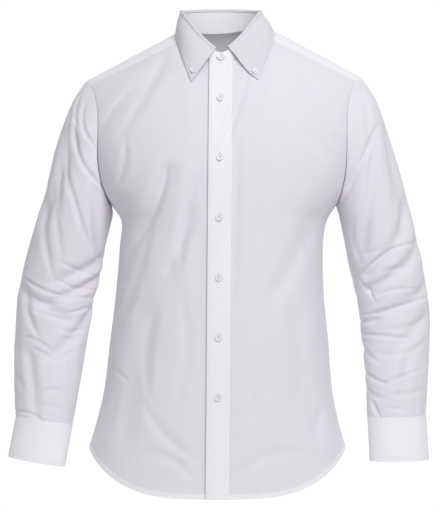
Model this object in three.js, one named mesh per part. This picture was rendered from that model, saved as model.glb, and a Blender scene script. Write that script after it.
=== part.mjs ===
// A long sleeve dress shirt with a button-down collar, hollow, in the shape that it has when worn.
// Millimetres, +Z up. The front faces -Y, and +X is the wearer's left. The origin is the middle of
// the neck, level with the tops of the shoulders, where the wearer carries the shirt.

import * as THREE from "three";

// Driving dimensions
const CLOTH = 1; // wall of the body and sleeves
const BAND = 1.6; // wall of the interlined collar, cuffs and button band
const SEAM_GAP = 0.3; // between pieces that are sewn together
const MITRE = 0.5; // how far the inner edge of a wall draws back at a seam
const LEAN = 0.008; // the body drifts to the wearer's right going down

// Body sections: height, half width on the wearer's right and left, depth of the front and back
const BODY = [
  { z: -800, right: 227, left: 226, front: 106, back: 112 },
  { z: -680, right: 211, left: 210, front: 110, back: 113 },
  { z: -640, right: 200, left: 199, front: 112, back: 112 },
  { z: -587, right: 188, left: 188, front: 114, back: 108 },
  { z: -508, right: 179, left: 181, front: 117, back: 99 },
  { z: -429, right: 170, left: 173, front: 119, back: 95 },
  { z: -350, right: 164, left: 171, front: 120, back: 100 },
  { z: -310, right: 162, left: 177, front: 121, back: 105 },
  { z: -285, right: 178, left: 192, front: 121, back: 108 },
  { z: -255, right: 199, left: 209, front: 121, back: 112 },
  { z: -180, right: 222, left: 230, front: 121, back: 117 },
  { z: -130, right: 234, left: 242, front: 121, back: 118 },
  { z: -60, right: 248, left: 256, front: 121, back: 118 },
  { z: 60, right: 258, left: 266, front: 121, back: 118 },
];
const SIDE_Y = 4; // depth at which the side seams and the shoulder ridge lie
const FRONT_ROUND = 2.3; // section exponents, 2 for an ellipse
const BACK_ROUND = 2.2;

// Shoulder ridge: a hump across the neck that runs out into straight shoulders
const RIDGE_TOP = 20;
const RIDGE_CURVE = 0.0028;
const RIDGE_SHIFT = 11; // the wearer's left shoulder is the higher one
const SHOULDER_SLOPE = 0.535;

// Arch of the upper body over the ridge: height where it starts, and its exponent
const FRONT_ARCH = { from: -240, power: 1.6 };
const BACK_ARCH = { from: -150, power: 2.1 };

// Hem of a shirt tail, high at the side seams
const SIDE_HEM = -682;
const FRONT_HEM = -756;
const BACK_HEM = -768;
const HEM_POWER = 3.5;

// Armhole, as the front view shows it
const UNDERARM = -285;
const ARMHOLES = {
  right: { shoulder: 223, chest: 199 },
  left: { shoulder: 232, chest: 206 },
};
const FRONT_YOKE_AT = 24; // degrees round the armhole from the shoulder point
const BACK_YOKE_AT = -46;

// Neckline and yoke: places over the shoulder run from -1 in front through 0 on the ridge to 1
const NECK_X = 66;
const NECK_FRONT = 0.458;
const NECK_BACK = 0.274;
const NECK_POWER = 1.1;
const NECK_YOKE_AT = 56; // degrees round the neck from the centre front
const BACK_YOKE = -92;

// Button band and overlap
const BAND_HALF = 18.5;
const UNDER_EDGE = 17;
const UNDER_DROP = 2.8;
const UNDER_BLEND = 40;
const FIRST_BUTTON = -116;
const BUTTON_STEP = 95.2;
const BUTTON_COUNT = 6;

// Collar
const STAND_X = 64;
const STAND_FRONT_DEPTH = 68;
const STAND_BACK_DEPTH = 46;
const FOLD_FRONT = -35;
const FOLD_SIDE = 37;
const FOLD_BACK = 45;
const FOLD_POWER = 1.5; // of the fold's rise from the centre front to the side
const FOLD_BACK_POWER = 1.3; // and of its rise from the side to the centre back
const STAND_BELOW_FOLD = 4;
const STAND_BUTTON_Z = -47;
const UNDER_LAP_RISE = 1; // of the stand's inner lap over the right front
const UNDER_LAP_FROM = 340; // degrees round the neck
const STAND_DROP = { from: 290, to: 343 }; // where the stand goes down under its own start
const LAP_ROOM = 0.5; // between two laps of a stand or cuff
const LEAF_LIFT = 3.4; // leaf's edge above the body

// The leaf's edge from the wearer's left point round the back: x, and the place over the shoulder
const LEAF_EDGE = [
  { x: 60, over: -0.53 },
  { x: 76, over: -0.37 },
  { x: 86, over: -0.2 },
  { x: 83, over: -0.02 },
  { x: 72, over: 0.17 },
  { x: 42, over: 0.3 },
  { x: 0, over: 0.34 },
  { x: -40, over: 0.3 },
  { x: -66, over: 0.17 },
  { x: -73, over: -0.01 },
  { x: -73, over: -0.17 },
  { x: -63, over: -0.37 },
  { x: -47, over: -0.535 },
];
const LEAF_FROM = 10; // degrees round the neck where the leaf starts and ends
const LEAF_TO = 353;
// Buttons of the points: share of the way round the leaf, and row up from its edge
const LEAF_BUTTONS = [
  { name: "button_collar_left", u: 0.014, row: 0.7 },
  { name: "button_collar_right", u: 0.982, row: 0.88 },
];
// The leaf's roll over the stand: out from the stand's face, and up from the fold
const LEAF_ROLL = [
  { out: 4.6, up: -4.5 },
  { out: 3.9, up: -0.8 },
  { out: 1.4, up: 1.4 },
  { out: -1.2, up: -0.8 },
  { out: -1.6, up: 0.5 - STAND_BELOW_FOLD },
];

// Sleeve stations: outer and inner edge as the front view shows them, middle and half depth
const SLEEVES = {
  right: [
    { outX: 247, outZ: -118, inX: 179, inZ: -300, midY: 5, deep: 60 },
    { outX: 272, outZ: -187, inX: 184, inZ: -322, midY: 6, deep: 61 },
    { outX: 292, outZ: -268, inX: 191, inZ: -350, midY: 8, deep: 60 },
    { outX: 314, outZ: -338, inX: 197, inZ: -385, midY: 11, deep: 57 },
    { outX: 330, outZ: -400, inX: 204, inZ: -418, midY: 13, deep: 54 },
    { outX: 339, outZ: -455, inX: 213, inZ: -458, midY: 11, deep: 51 },
    { outX: 341, outZ: -515, inX: 223, inZ: -521, midY: 3, deep: 47 },
    { outX: 340, outZ: -568, inX: 231, inZ: -574, midY: -10, deep: 42 },
    { outX: 337, outZ: -626, inX: 243, inZ: -642, midY: -22, deep: 33 },
  ],
  left: [
    { outX: 257, outZ: -113, inX: 194, inZ: -298, midY: 5, deep: 60 },
    { outX: 282, outZ: -187, inX: 198, inZ: -316, midY: 6, deep: 61 },
    { outX: 304, outZ: -262, inX: 204, inZ: -343, midY: 8, deep: 60 },
    { outX: 325, outZ: -343, inX: 212, inZ: -386, midY: 11, deep: 57 },
    { outX: 338, outZ: -408, inX: 221, inZ: -420, midY: 13, deep: 54 },
    { outX: 345, outZ: -460, inX: 229, inZ: -466, midY: 11, deep: 51 },
    { outX: 344, outZ: -515, inX: 234, inZ: -521, midY: 3, deep: 47 },
    { outX: 340, outZ: -568, inX: 238, inZ: -574, midY: -10, deep: 42 },
    { outX: 335, outZ: -628, inX: 239, inZ: -630, midY: -22, deep: 33 },
  ],
};
const CUFF_ENDS = {
  right: { outX: 349, outZ: -694, inX: 255, inZ: -711, midY: -33, deep: 28 },
  left: { outX: 339, outZ: -700, inX: 242, inZ: -702, midY: -33, deep: 28 },
};
const CUFF_PROUD = 0.6; // how far a cuff stands out over the end of its sleeve
const CUFF_OPENS = -62.75; // degrees round the sleeve, on the column behind its outer edge
const CUFF_LAP = 38; // degrees
const CUFF_BUTTON_IN = 14; // degrees from the end of the lap
const CUFF_RISE = { from: 53, to: 180 }; // degrees round, in which its start comes out from below
const PLACKET_ROWS = 7; // of the sleeve, up from the cuff

// Buttons: radius and height
const BUTTON = { radius: 5.6, height: 2.6 };
const SMALL_BUTTON = { radius: 4.9, height: 2.3 };

// Main folds of the body: both ends as seen from the front or back, half width and depth
const FRONT_FOLDS = [
  { fromA: -92, fromB: -62, toA: -188, toB: -148, wide: 17, deep: 5 },
  { fromA: 112, fromB: -68, toA: 190, toB: -150, wide: 17, deep: 4.5 },
  { fromA: -86, fromB: -240, toA: -160, toB: -400, wide: 19, deep: 7 },
  { fromA: -45, fromB: -310, toA: -78, toB: -385, wide: 16, deep: 5 },
  { fromA: 160, fromB: -300, toA: 95, toB: -420, wide: 20, deep: 5 },
  { fromA: 120, fromB: -480, toA: 160, toB: -640, wide: 24, deep: 5 },
  { fromA: -115, fromB: -470, toA: -150, toB: -650, wide: 24, deep: 5 },
];
const BACK_FOLDS = [
  { fromA: -180, fromB: -190, toA: -110, toB: -330, wide: 20, deep: 4 },
  { fromA: 175, fromB: -200, toA: 120, toB: -360, wide: 20, deep: 4.5 },
  { fromA: -60, fromB: -300, toA: -75, toB: -520, wide: 22, deep: 4 },
  { fromA: 45, fromB: -340, toA: 65, toB: -560, wide: 22, deep: 4 },
  { fromA: -130, fromB: -480, toA: -150, toB: -660, wide: 22, deep: 3 },
  { fromA: 125, fromB: -500, toA: 145, toB: -670, wide: 22, deep: 3 },
];
// Main folds of a sleeve: station and degrees at both ends, half width and depth in millimetres
const SLEEVE_FOLDS = {
  right: [
    { fromA: 0.4, fromB: 60, toA: 2.3, toB: 40, wide: 17, deep: 5 },
    { fromA: 0.5, fromB: 115, toA: 2.4, toB: 150, wide: 16, deep: 4 },
    { fromA: 2.7, fromB: 165, toA: 4.0, toB: 95, wide: 16, deep: 6 },
    { fromA: 3.5, fromB: 175, toA: 4.8, toB: 85, wide: 15, deep: 6 },
    { fromA: 4.3, fromB: 20, toA: 5.2, toB: 110, wide: 14, deep: 4 },
    { fromA: 5.0, fromB: 170, toA: 6.2, toB: 100, wide: 15, deep: 5 },
    { fromA: 6.3, fromB: 60, toA: 8.2, toB: 80, wide: 13, deep: 4 },
    { fromA: 3.0, fromB: -160, toA: 4.6, toB: -70, wide: 16, deep: 5 },
    { fromA: 4.6, fromB: -170, toA: 5.8, toB: -80, wide: 16, deep: 5 },
    { fromA: 1.0, fromB: -110, toA: 2.8, toB: -140, wide: 18, deep: 4 },
  ],
  left: [
    { fromA: 0.5, fromB: 70, toA: 2.4, toB: 125, wide: 17, deep: 5 },
    { fromA: 0.8, fromB: 25, toA: 2.6, toB: 45, wide: 17, deep: 4 },
    { fromA: 2.3, fromB: 30, toA: 3.5, toB: 125, wide: 15, deep: 5 },
    { fromA: 3.1, fromB: 20, toA: 4.1, toB: 130, wide: 15, deep: 6 },
    { fromA: 4.2, fromB: 25, toA: 5.1, toB: 125, wide: 15, deep: 5 },
    { fromA: 5.2, fromB: 40, toA: 6.3, toB: 120, wide: 15, deep: 4 },
    { fromA: 6.4, fromB: 75, toA: 8.2, toB: 95, wide: 13, deep: 4 },
    { fromA: 2.8, fromB: -70, toA: 4.3, toB: -160, wide: 16, deep: 5 },
    { fromA: 4.5, fromB: -75, toA: 5.9, toB: -165, wide: 16, deep: 5 },
    { fromA: 1.1, fromB: -120, toA: 2.9, toB: -90, wide: 18, deep: 4 },
  ],
};
const FOLDS_FROM = 0.4; // stations between which the folds have their full depth
const FOLDS_TO = 7.4;
const STATION_STEP = 62; // millimetres along a sleeve for each station, for the folds
const ROUND_STEP = 1; // millimetres round a sleeve for each degree, for the folds

// Grid divisions, shared by the edges that are sewn together
const LOW_ROWS = 17;
const FRONT_ARM_ROWS = 10;
const BACK_ARM_ROWS = 8;
const YOKE_ARM_COLUMNS = 6;
const NECK_COLUMNS = 5;
const SHOULDER_COLUMNS = 8;
const BACK_COLUMNS = 20;
const SIDE_CROWDING = 0.6; // how much closer a front's columns stand towards the side
const SLEEVE_ROWS = 25;
const CUFF_COLUMNS = 30;
const CUFF_ROWS = 2;
const STAND_ROWS = 2;
const LEAF_COLUMNS = 30;
const LEAF_FALL_ROWS = 4;
const BUTTON_SIDES = 14;

const rad = (degrees) => (degrees * Math.PI) / 180;
const degrees = (radians) => (radians * 180) / Math.PI;
const mix = (a, b, t) => a + (b - a) * t;
const clamp01 = (t) => Math.min(1, Math.max(0, t));
const smooth = (a, b, t) => {
  const s = clamp01((t - a) / (b - a));
  return s * s * (3 - 2 * s);
};
const sideName = (hand) => (hand < 0 ? "right" : "left");

// A table column at height z, on a smooth curve through the rows
function column(table, z, name) {
  const last = table.length - 1;
  let k = 0;
  while (k < last - 1 && z > table[k + 1].z) k += 1;
  const slope = (i) => {
    const a = table[Math.max(0, i - 1)];
    const b = table[Math.min(last, i + 1)];
    return (b[name] - a[name]) / (b.z - a.z);
  };
  const span = table[k + 1].z - table[k].z;
  const t = clamp01((z - table[k].z) / span);
  const t2 = t * t;
  const t3 = t2 * t;
  return (
    (2 * t3 - 3 * t2 + 1) * table[k][name] +
    (t3 - 2 * t2 + t) * span * slope(k) +
    (3 * t2 - 2 * t3) * table[k + 1][name] +
    (t3 - t2) * span * slope(k + 1)
  );
}

// A point on the smooth curve through a list of points, t from 0 to 1
function along(points, t) {
  const last = points.length - 1;
  const at = clamp01(t) * last;
  const k = Math.min(last - 1, Math.floor(at));
  const f = at - k;
  const p0 = points[Math.max(0, k - 1)];
  const p1 = points[k];
  const p2 = points[k + 1];
  const p3 = points[Math.min(last, k + 2)];
  const blend = (a, b, c, d) =>
    0.5 *
    (2 * b +
      (c - a) * f +
      (2 * a - 5 * b + 4 * c - d) * f * f +
      (3 * b - a - 3 * c + d) * f * f * f);
  return new THREE.Vector3(
    blend(p0.x, p1.x, p2.x, p3.x),
    blend(p0.y, p1.y, p2.y, p3.y),
    blend(p0.z, p1.z, p2.z, p3.z),
  );
}

// How far the folds sink the cloth at a place: each is a trough with a low ridge on both sides
function foldDepth(folds, a, b) {
  let depth = 0;
  for (const fold of folds) {
    const runA = fold.toA - fold.fromA;
    const runB = fold.toB - fold.fromB;
    const length = Math.hypot(runA, runB);
    const lengthwise = ((a - fold.fromA) * runA + (b - fold.fromB) * runB) / length;
    const across = ((b - fold.fromB) * runA - (a - fold.fromA) * runB) / length / fold.wide;
    const past = Math.max(0, -lengthwise, lengthwise - length) / fold.wide;
    depth += fold.deep * (1 - across * across) * Math.exp(-across * across - past * past);
  }
  return depth;
}

// Shape of the body

function ridge(x) {
  const bend = SHOULDER_SLOPE / (2 * RIDGE_CURVE);
  const reach = Math.abs(x - RIDGE_SHIFT);
  const hump = RIDGE_CURVE * Math.min(reach, bend) ** 2;
  return RIDGE_TOP - hump - SHOULDER_SLOPE * Math.max(0, reach - bend);
}

const halfWidth = (x, z) => column(BODY, z, sideName(x));

// How deep the body is at x and z, before the arch: side is -1 for the front and 1 for the back
function sectionDepth(x, z, side) {
  const power = side < 0 ? FRONT_ROUND : BACK_ROUND;
  const folds = side < 0 ? FRONT_FOLDS : BACK_FOLDS;
  const share = clamp01(Math.abs(x) / halfWidth(x, z));
  const full = column(BODY, z, side < 0 ? "front" : "back") - side * SIDE_Y;
  return (full - foldDepth(folds, x, z)) * (1 - share ** power) ** (1 / power);
}

const bodyAt = (x, z, depth) => new THREE.Vector3(x + LEAN * z, SIDE_Y + depth, z);

function bodyPoint(x, z, side) {
  const arch = side < 0 ? FRONT_ARCH : BACK_ARCH;
  const share = clamp01((z - arch.from) / (ridge(x) - arch.from));
  const closing = (1 - share ** arch.power) ** (1 / arch.power);
  return bodyAt(x, z, side * sectionDepth(x, z, side) * closing);
}

// The place over the shoulder that belongs to a height, and back
function overOf(x, z, side) {
  const arch = side < 0 ? FRONT_ARCH : BACK_ARCH;
  const share = clamp01((z - arch.from) / (ridge(x) - arch.from));
  return side * (1 - Math.asin(share ** (arch.power / 2)) / rad(90));
}

function overShoulder(x, over) {
  const side = over < 0 ? -1 : 1;
  const arch = side < 0 ? FRONT_ARCH : BACK_ARCH;
  const turn = rad(90) * (1 - Math.abs(over));
  const z = mix(arch.from, ridge(x), Math.sin(turn) ** (2 / arch.power));
  const closing = Math.cos(turn) ** (2 / arch.power);
  return bodyAt(x, z, side * sectionDepth(x, z, side) * closing);
}

// Armhole: hand is -1 for the wearer's right, and the angle is 0 at the shoulder point,
// 90 in front, 180 under the arm and -90 behind
function armhole(hand, angle) {
  const hole = ARMHOLES[sideName(hand)];
  const c = Math.cos(rad(angle));
  const top = ridge(hand * hole.shoulder);
  const bottomX = halfWidth(hand, UNDERARM);
  const x = c > 0 ? mix(hole.chest, hole.shoulder, c ** 4) : mix(hole.chest, bottomX, (-c) ** 3);
  return { x: hand * x, z: mix(UNDERARM, top, (1 + c) / 2), side: angle > 0 ? -1 : 1 };
}

function armholePoint(hand, angle) {
  const at = armhole(hand, angle);
  return bodyPoint(at.x, at.z, at.side);
}

function armholeOver(hand, angle) {
  const at = armhole(hand, angle);
  return [at.x, overOf(at.x, at.z, at.side)];
}

// Neckline: the angle is 0 at the centre front, 90 on the wearer's left and 180 at the back
function necklineOver(angle) {
  const c = Math.cos(rad(angle));
  const over = c > 0 ? -NECK_FRONT * c ** NECK_POWER : NECK_BACK * (-c) ** NECK_POWER;
  return [NECK_X * Math.sin(rad(angle)), over];
}

const necklinePoint = (angle) => overShoulder(...necklineOver(angle));
const neckAngle = (x) => degrees(Math.asin(x / NECK_X));

// A patch between four edges, each a function from 0 to 1 that gives a pair of numbers
function patch(bottom, top, start, end) {
  return (u, v) =>
    [0, 1].map(
      (k) =>
        mix(bottom(u)[k], top(u)[k], v) +
        mix(start(v)[k], end(v)[k], u) -
        mix(mix(bottom(0)[k], bottom(1)[k], u), mix(top(0)[k], top(1)[k], u), v),
    );
}

// Sheets and walls

// A sheet of cloth: rows of points from its lower edge up, each row counterclockwise from above
function sheet(rows, columns, pointAt, closed = false) {
  const points = [];
  for (let i = 0; i <= rows; i += 1) {
    const row = [];
    for (let j = 0; j < columns + (closed ? 0 : 1); j += 1) row.push(pointAt(i, j));
    points.push(row);
  }
  return withNormals(points, closed);
}

function withNormals(points, closed) {
  const rows = points.length;
  const columns = points[0].length;
  const wrap = (k) =>
    closed ? (k + columns) % columns : Math.min(columns - 1, Math.max(0, k));
  const normals = points.map((row, i) =>
    row.map((_, j) => {
      const across = points[i][wrap(j + 1)].clone().sub(points[i][wrap(j - 1)]);
      const up = points[Math.min(rows - 1, i + 1)][j].clone();
      up.sub(points[Math.max(0, i - 1)][j]);
      return across.cross(up).normalize();
    }),
  );
  return { points, normals, closed };
}

// Draws the edges of a grid of points back by a distance
function drawBack(points, closed, distance) {
  const rows = points.length;
  const columns = points[0].length;
  const step = (p, towards) => {
    const way = towards.clone().sub(p);
    return p.clone().addScaledVector(way, distance / Math.max(way.length(), distance));
  };
  const result = points.map((row) => row.map((p) => p.clone()));
  for (let j = 0; j < columns; j += 1) {
    result[0][j] = step(points[0][j], points[1][j]);
    result[rows - 1][j] = step(points[rows - 1][j], points[rows - 2][j]);
  }
  if (closed) return result;
  const inner = result.map((row) => row.map((p) => p.clone()));
  for (let i = 0; i < rows; i += 1) {
    result[i][0] = step(inner[i][0], inner[i][1]);
    result[i][columns - 1] = step(inner[i][columns - 1], inner[i][columns - 2]);
  }
  return result;
}

// Closes a sheet into a wall between two distances from it
function wall(cloth, from, to) {
  const { points, normals, closed } = cloth;
  const rows = points.length;
  const columns = points[0].length;
  const layer = (distance, back) => {
    const moved = points.map((row, i) =>
      row.map((p, j) => {
        const d = typeof distance === "function" ? distance(j) : distance;
        return p.clone().addScaledVector(normals[i][j], d);
      }),
    );
    return drawBack(moved, closed, back).flat();
  };
  const inner = layer(from, SEAM_GAP / 2 + MITRE);
  const outer = layer(to, SEAM_GAP / 2);
  const position = [...inner, ...outer].flatMap((p) => [p.x, p.y, p.z]);
  const inside = (i, j) => i * columns + (j % columns);
  const outside = (i, j) => rows * columns + inside(i, j);
  const index = [];
  const quad = (a, b, c, d) => index.push(a, b, c, a, c, d);
  const spans = closed ? columns : columns - 1;
  const top = rows - 1;
  for (let j = 0; j < spans; j += 1) {
    for (let i = 0; i < top; i += 1) {
      quad(outside(i, j), outside(i, j + 1), outside(i + 1, j + 1), outside(i + 1, j));
      quad(inside(i, j), inside(i + 1, j), inside(i + 1, j + 1), inside(i, j + 1));
    }
    quad(inside(0, j), inside(0, j + 1), outside(0, j + 1), outside(0, j));
    quad(outside(top, j), outside(top, j + 1), inside(top, j + 1), inside(top, j));
  }
  if (!closed)
    for (let i = 0; i < top; i += 1) {
      quad(inside(i, 0), outside(i, 0), outside(i + 1, 0), inside(i + 1, 0));
      quad(outside(i, spans), inside(i, spans), inside(i + 1, spans), outside(i + 1, spans));
    }
  const geometry = new THREE.BufferGeometry();
  geometry.setAttribute("position", new THREE.Float32BufferAttribute(position, 3));
  geometry.setIndex(index);
  geometry.computeVertexNormals();
  return geometry;
}

// Finishes

const finish = (color, roughness) =>
  new THREE.MeshStandardMaterial({ color, roughness, metalness: 0 });

const shirt = new THREE.Group();

function add(name, geometry, material) {
  const mesh = new THREE.Mesh(geometry, material);
  mesh.name = name;
  shirt.add(mesh);
  return mesh;
}

const cloth = () => finish("#e4e2e8", 0.9);
const fused = () => finish("#eceaf0", 0.85);
const pearl = () => finish("#efeff2", 0.3);

// Fronts

// Heights of a column from the hem to the underarm, for a share of the way to the side seam
function hemHeight(share, side) {
  return mix(side < 0 ? FRONT_HEM : BACK_HEM, SIDE_HEM, share ** HEM_POWER);
}

function frontSheet(hand) {
  const lap = hand < 0 ? UNDER_EDGE : BAND_HALF;
  const rows = LOW_ROWS + FRONT_ARM_ROWS;
  const bandColumns = 2;
  const restColumns = NECK_COLUMNS + SHOULDER_COLUMNS;
  const neckAt = neckAngle(BAND_HALF);
  const spread = (u) => mix(u, Math.sin(rad(90) * u), SIDE_CROWDING);
  const topEdge = (u) => {
    const k = u * restColumns;
    let pair;
    if (k <= NECK_COLUMNS) {
      pair = necklineOver(mix(neckAt, NECK_YOKE_AT, k / NECK_COLUMNS) * hand);
    } else {
      const start = necklineOver(NECK_YOKE_AT * hand);
      const end = armholeOver(hand, FRONT_YOKE_AT);
      const t = (k - NECK_COLUMNS) / SHOULDER_COLUMNS;
      pair = [mix(start[0], end[0], t), mix(start[1], end[1], t)];
    }
    return [pair[0], overShoulder(...pair).z];
  };
  const neckZ = (x) => necklinePoint(neckAngle(x)).z;
  const upper = patch(
    (u) => [hand * mix(BAND_HALF, halfWidth(hand, UNDERARM), spread(u)), UNDERARM],
    topEdge,
    (v) => [hand * BAND_HALF, mix(UNDERARM, neckZ(hand * BAND_HALF), v)],
    (v) => {
      const at = armhole(hand, mix(180, FRONT_YOKE_AT, v));
      return [at.x, at.z];
    },
  );
  const place = (i, j) => {
    if (j < bandColumns) {
      const x = hand * mix(-lap, BAND_HALF, j / bandColumns);
      const share = Math.abs(x) / halfWidth(x, FRONT_HEM);
      if (i <= LOW_ROWS) return [x, mix(hemHeight(share, -1), UNDERARM, i / LOW_ROWS)];
      return [x, mix(UNDERARM, neckZ(x), (i - LOW_ROWS) / FRONT_ARM_ROWS)];
    }
    const u = (j - bandColumns) / restColumns;
    if (i > LOW_ROWS) return upper(u, (i - LOW_ROWS) / FRONT_ARM_ROWS);
    const share = mix(BAND_HALF / halfWidth(hand, FRONT_HEM), 1, spread(u));
    const z = mix(hemHeight(share, -1), UNDERARM, i / LOW_ROWS);
    return [hand * mix(BAND_HALF, halfWidth(hand, z), spread(u)), z];
  };
  const columns = bandColumns + restColumns;
  return sheet(rows, columns, (i, j) => {
    const [x, z] = place(i, hand > 0 ? j : columns - j);
    const point = bodyPoint(x, z, -1);
    if (hand < 0) point.y += UNDER_DROP * smooth(-BAND_HALF - UNDER_BLEND, -BAND_HALF, x);
    return point;
  });
}

const frontLeft = frontSheet(1);
const frontRight = frontSheet(-1);
add("front_left", wall(frontLeft, -CLOTH, 0), cloth());
add("front_right", wall(frontRight, -CLOTH, 0), cloth());

// The band lies on the left front, over its first columns
const bandCut = (grid) => grid.map((row) => row.slice(0, 3));
const bandSheet = {
  points: bandCut(frontLeft.points),
  normals: bandCut(frontLeft.normals),
  closed: false,
};
add("placket", wall(bandSheet, SEAM_GAP, SEAM_GAP + BAND), fused());

// Yoke: from the left front seam round the back of the neck to the right front seam

const yokeColumns = 2 * YOKE_ARM_COLUMNS + BACK_COLUMNS;

function backSeamOver(u) {
  const left = armhole(1, BACK_YOKE_AT);
  const right = armhole(-1, BACK_YOKE_AT);
  const x = mix(left.x, right.x, u);
  const edgeZ = mix(left.z, right.z, u);
  const z = mix(BACK_YOKE, edgeZ, (2 * u - 1) ** 2);
  return [x, overOf(x, z, 1)];
}

function yokeEdge(u) {
  const k = u * yokeColumns;
  if (k < YOKE_ARM_COLUMNS)
    return armholeOver(1, mix(FRONT_YOKE_AT, BACK_YOKE_AT, k / YOKE_ARM_COLUMNS));
  if (k > YOKE_ARM_COLUMNS + BACK_COLUMNS)
    return armholeOver(-1, mix(FRONT_YOKE_AT, BACK_YOKE_AT, (yokeColumns - k) / YOKE_ARM_COLUMNS));
  return backSeamOver((k - YOKE_ARM_COLUMNS) / BACK_COLUMNS);
}

const frontSeamOver = (hand) => (v) => {
  const start = armholeOver(hand, FRONT_YOKE_AT);
  const end = necklineOver(NECK_YOKE_AT * hand);
  return [mix(start[0], end[0], v), mix(start[1], end[1], v)];
};

const yokePatch = patch(
  yokeEdge,
  (u) => necklineOver(mix(NECK_YOKE_AT, 360 - NECK_YOKE_AT, u)),
  frontSeamOver(1),
  frontSeamOver(-1),
);
const yokeSheet = sheet(SHOULDER_COLUMNS, yokeColumns, (i, j) =>
  overShoulder(...yokePatch(j / yokeColumns, i / SHOULDER_COLUMNS)),
);
add("yoke", wall(yokeSheet, -CLOTH, 0), cloth());

// Back

const backUpper = patch(
  (u) => [acrossBack(u, UNDERARM), UNDERARM],
  (u) => {
    const [x, over] = backSeamOver(u);
    return [x, overShoulder(x, over).z];
  },
  (v) => {
    const at = armhole(1, mix(-180, BACK_YOKE_AT, v));
    return [at.x, at.z];
  },
  (v) => {
    const at = armhole(-1, mix(-180, BACK_YOKE_AT, v));
    return [at.x, at.z];
  },
);

// Across the back from the wearer's left side seam to the right one
function acrossBack(u, z) {
  const turn = Math.cos(rad(180) * u) * 0.5 + (1 - 2 * u) * 0.5;
  return turn * halfWidth(turn, z);
}

const backSheet = sheet(LOW_ROWS + BACK_ARM_ROWS, BACK_COLUMNS, (i, j) => {
  const u = j / BACK_COLUMNS;
  if (i > LOW_ROWS) {
    const [x, z] = backUpper(u, (i - LOW_ROWS) / BACK_ARM_ROWS);
    return bodyPoint(x, z, 1);
  }
  const share = Math.abs(acrossBack(u, BACK_HEM)) / halfWidth(acrossBack(u, BACK_HEM), BACK_HEM);
  const z = mix(hemHeight(share, 1), UNDERARM, i / LOW_ROWS);
  return bodyPoint(acrossBack(u, z), z, 1);
});
add("back", wall(backSheet, -CLOTH, 0), cloth());

// Sleeves and cuffs

function ringPoint(station, hand, angle) {
  const c = Math.cos(rad(angle));
  return new THREE.Vector3(
    hand * mix(station.inX, station.outX, (1 + c) / 2),
    station.midY - station.deep * Math.sin(rad(angle)),
    mix(station.inZ, station.outZ, (1 + c) / 2),
  );
}

// The angles of a sleeve's columns, counterclockwise from above, to meet the body's columns
function sleeveAngles(hand) {
  const angles = [];
  for (let k = 0; k < BACK_ARM_ROWS; k += 1)
    angles.push(mix(-180, BACK_YOKE_AT, k / BACK_ARM_ROWS));
  for (let k = 0; k < YOKE_ARM_COLUMNS; k += 1)
    angles.push(mix(BACK_YOKE_AT, FRONT_YOKE_AT, k / YOKE_ARM_COLUMNS));
  for (let k = 0; k < FRONT_ARM_ROWS; k += 1)
    angles.push(mix(FRONT_YOKE_AT, 180, k / FRONT_ARM_ROWS));
  return hand > 0 ? angles.reverse() : angles;
}

// A point of a sleeve: station -1 is the armhole, and the last station is the cuff seam
function sleevePoint(hand, station, angle) {
  const stations = SLEEVES[sideName(hand)];
  const column = [armholePoint(hand, angle)];
  for (const row of stations) column.push(ringPoint(row, hand, angle));
  return along(column, (station + 1) / stations.length);
}

function sleeveFold(hand, station, angle) {
  const last = SLEEVES[sideName(hand)].length - 1;
  const ends = smooth(-1, FOLDS_FROM, station) * (1 - smooth(FOLDS_TO, last, station));
  const a = station * STATION_STEP;
  let depth = 0;
  for (const fold of SLEEVE_FOLDS[sideName(hand)]) {
    const middle = (fold.fromB + fold.toB) / 2;
    const turned = angle - 360 * Math.round((angle - middle) / 360);
    const laid = {
      ...fold,
      fromA: fold.fromA * STATION_STEP,
      toA: fold.toA * STATION_STEP,
      fromB: fold.fromB * ROUND_STEP,
      toB: fold.toB * ROUND_STEP,
    };
    depth += foldDepth([laid], a, turned * ROUND_STEP);
  }
  return depth * ends;
}

function sleeveSheet(hand) {
  const last = SLEEVES[sideName(hand)].length - 1;
  const angles = sleeveAngles(hand);
  const stationAt = (i) => mix(last, -1, i / SLEEVE_ROWS);
  const smoothSheet = sheet(
    SLEEVE_ROWS,
    angles.length,
    (i, j) => sleevePoint(hand, stationAt(i), angles[j]),
    true,
  );
  const folded = smoothSheet.points.map((row, i) =>
    row.map((p, j) => {
      const depth = sleeveFold(hand, stationAt(i), angles[j]);
      return p.clone().addScaledVector(smoothSheet.normals[i][j], -depth);
    }),
  );
  return withNormals(folded, true);
}

// The height v goes from 0 at the cuff's lower edge to 1 at its seam
function cuffPoint(hand, angle, v) {
  const stations = SLEEVES[sideName(hand)];
  const low = ringPoint(CUFF_ENDS[sideName(hand)], hand, angle);
  return low.lerp(ringPoint(stations[stations.length - 1], hand, angle), v);
}

const cuffTurn = (j) => (360 + CUFF_LAP) * (j / CUFF_COLUMNS);

// The cuff goes once round the wrist and laps over its own start
function cuffSheet(hand) {
  return sheet(CUFF_ROWS, CUFF_COLUMNS, (i, j) =>
    cuffPoint(hand, CUFF_OPENS - hand * cuffTurn(j), i / CUFF_ROWS),
  );
}

const lapDrop = -(BAND + LAP_ROOM);

const cuffLayer = (j) =>
  lapDrop * (1 - smooth(CUFF_RISE.from, CUFF_RISE.to, cuffTurn(j))) + CUFF_PROUD;

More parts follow.
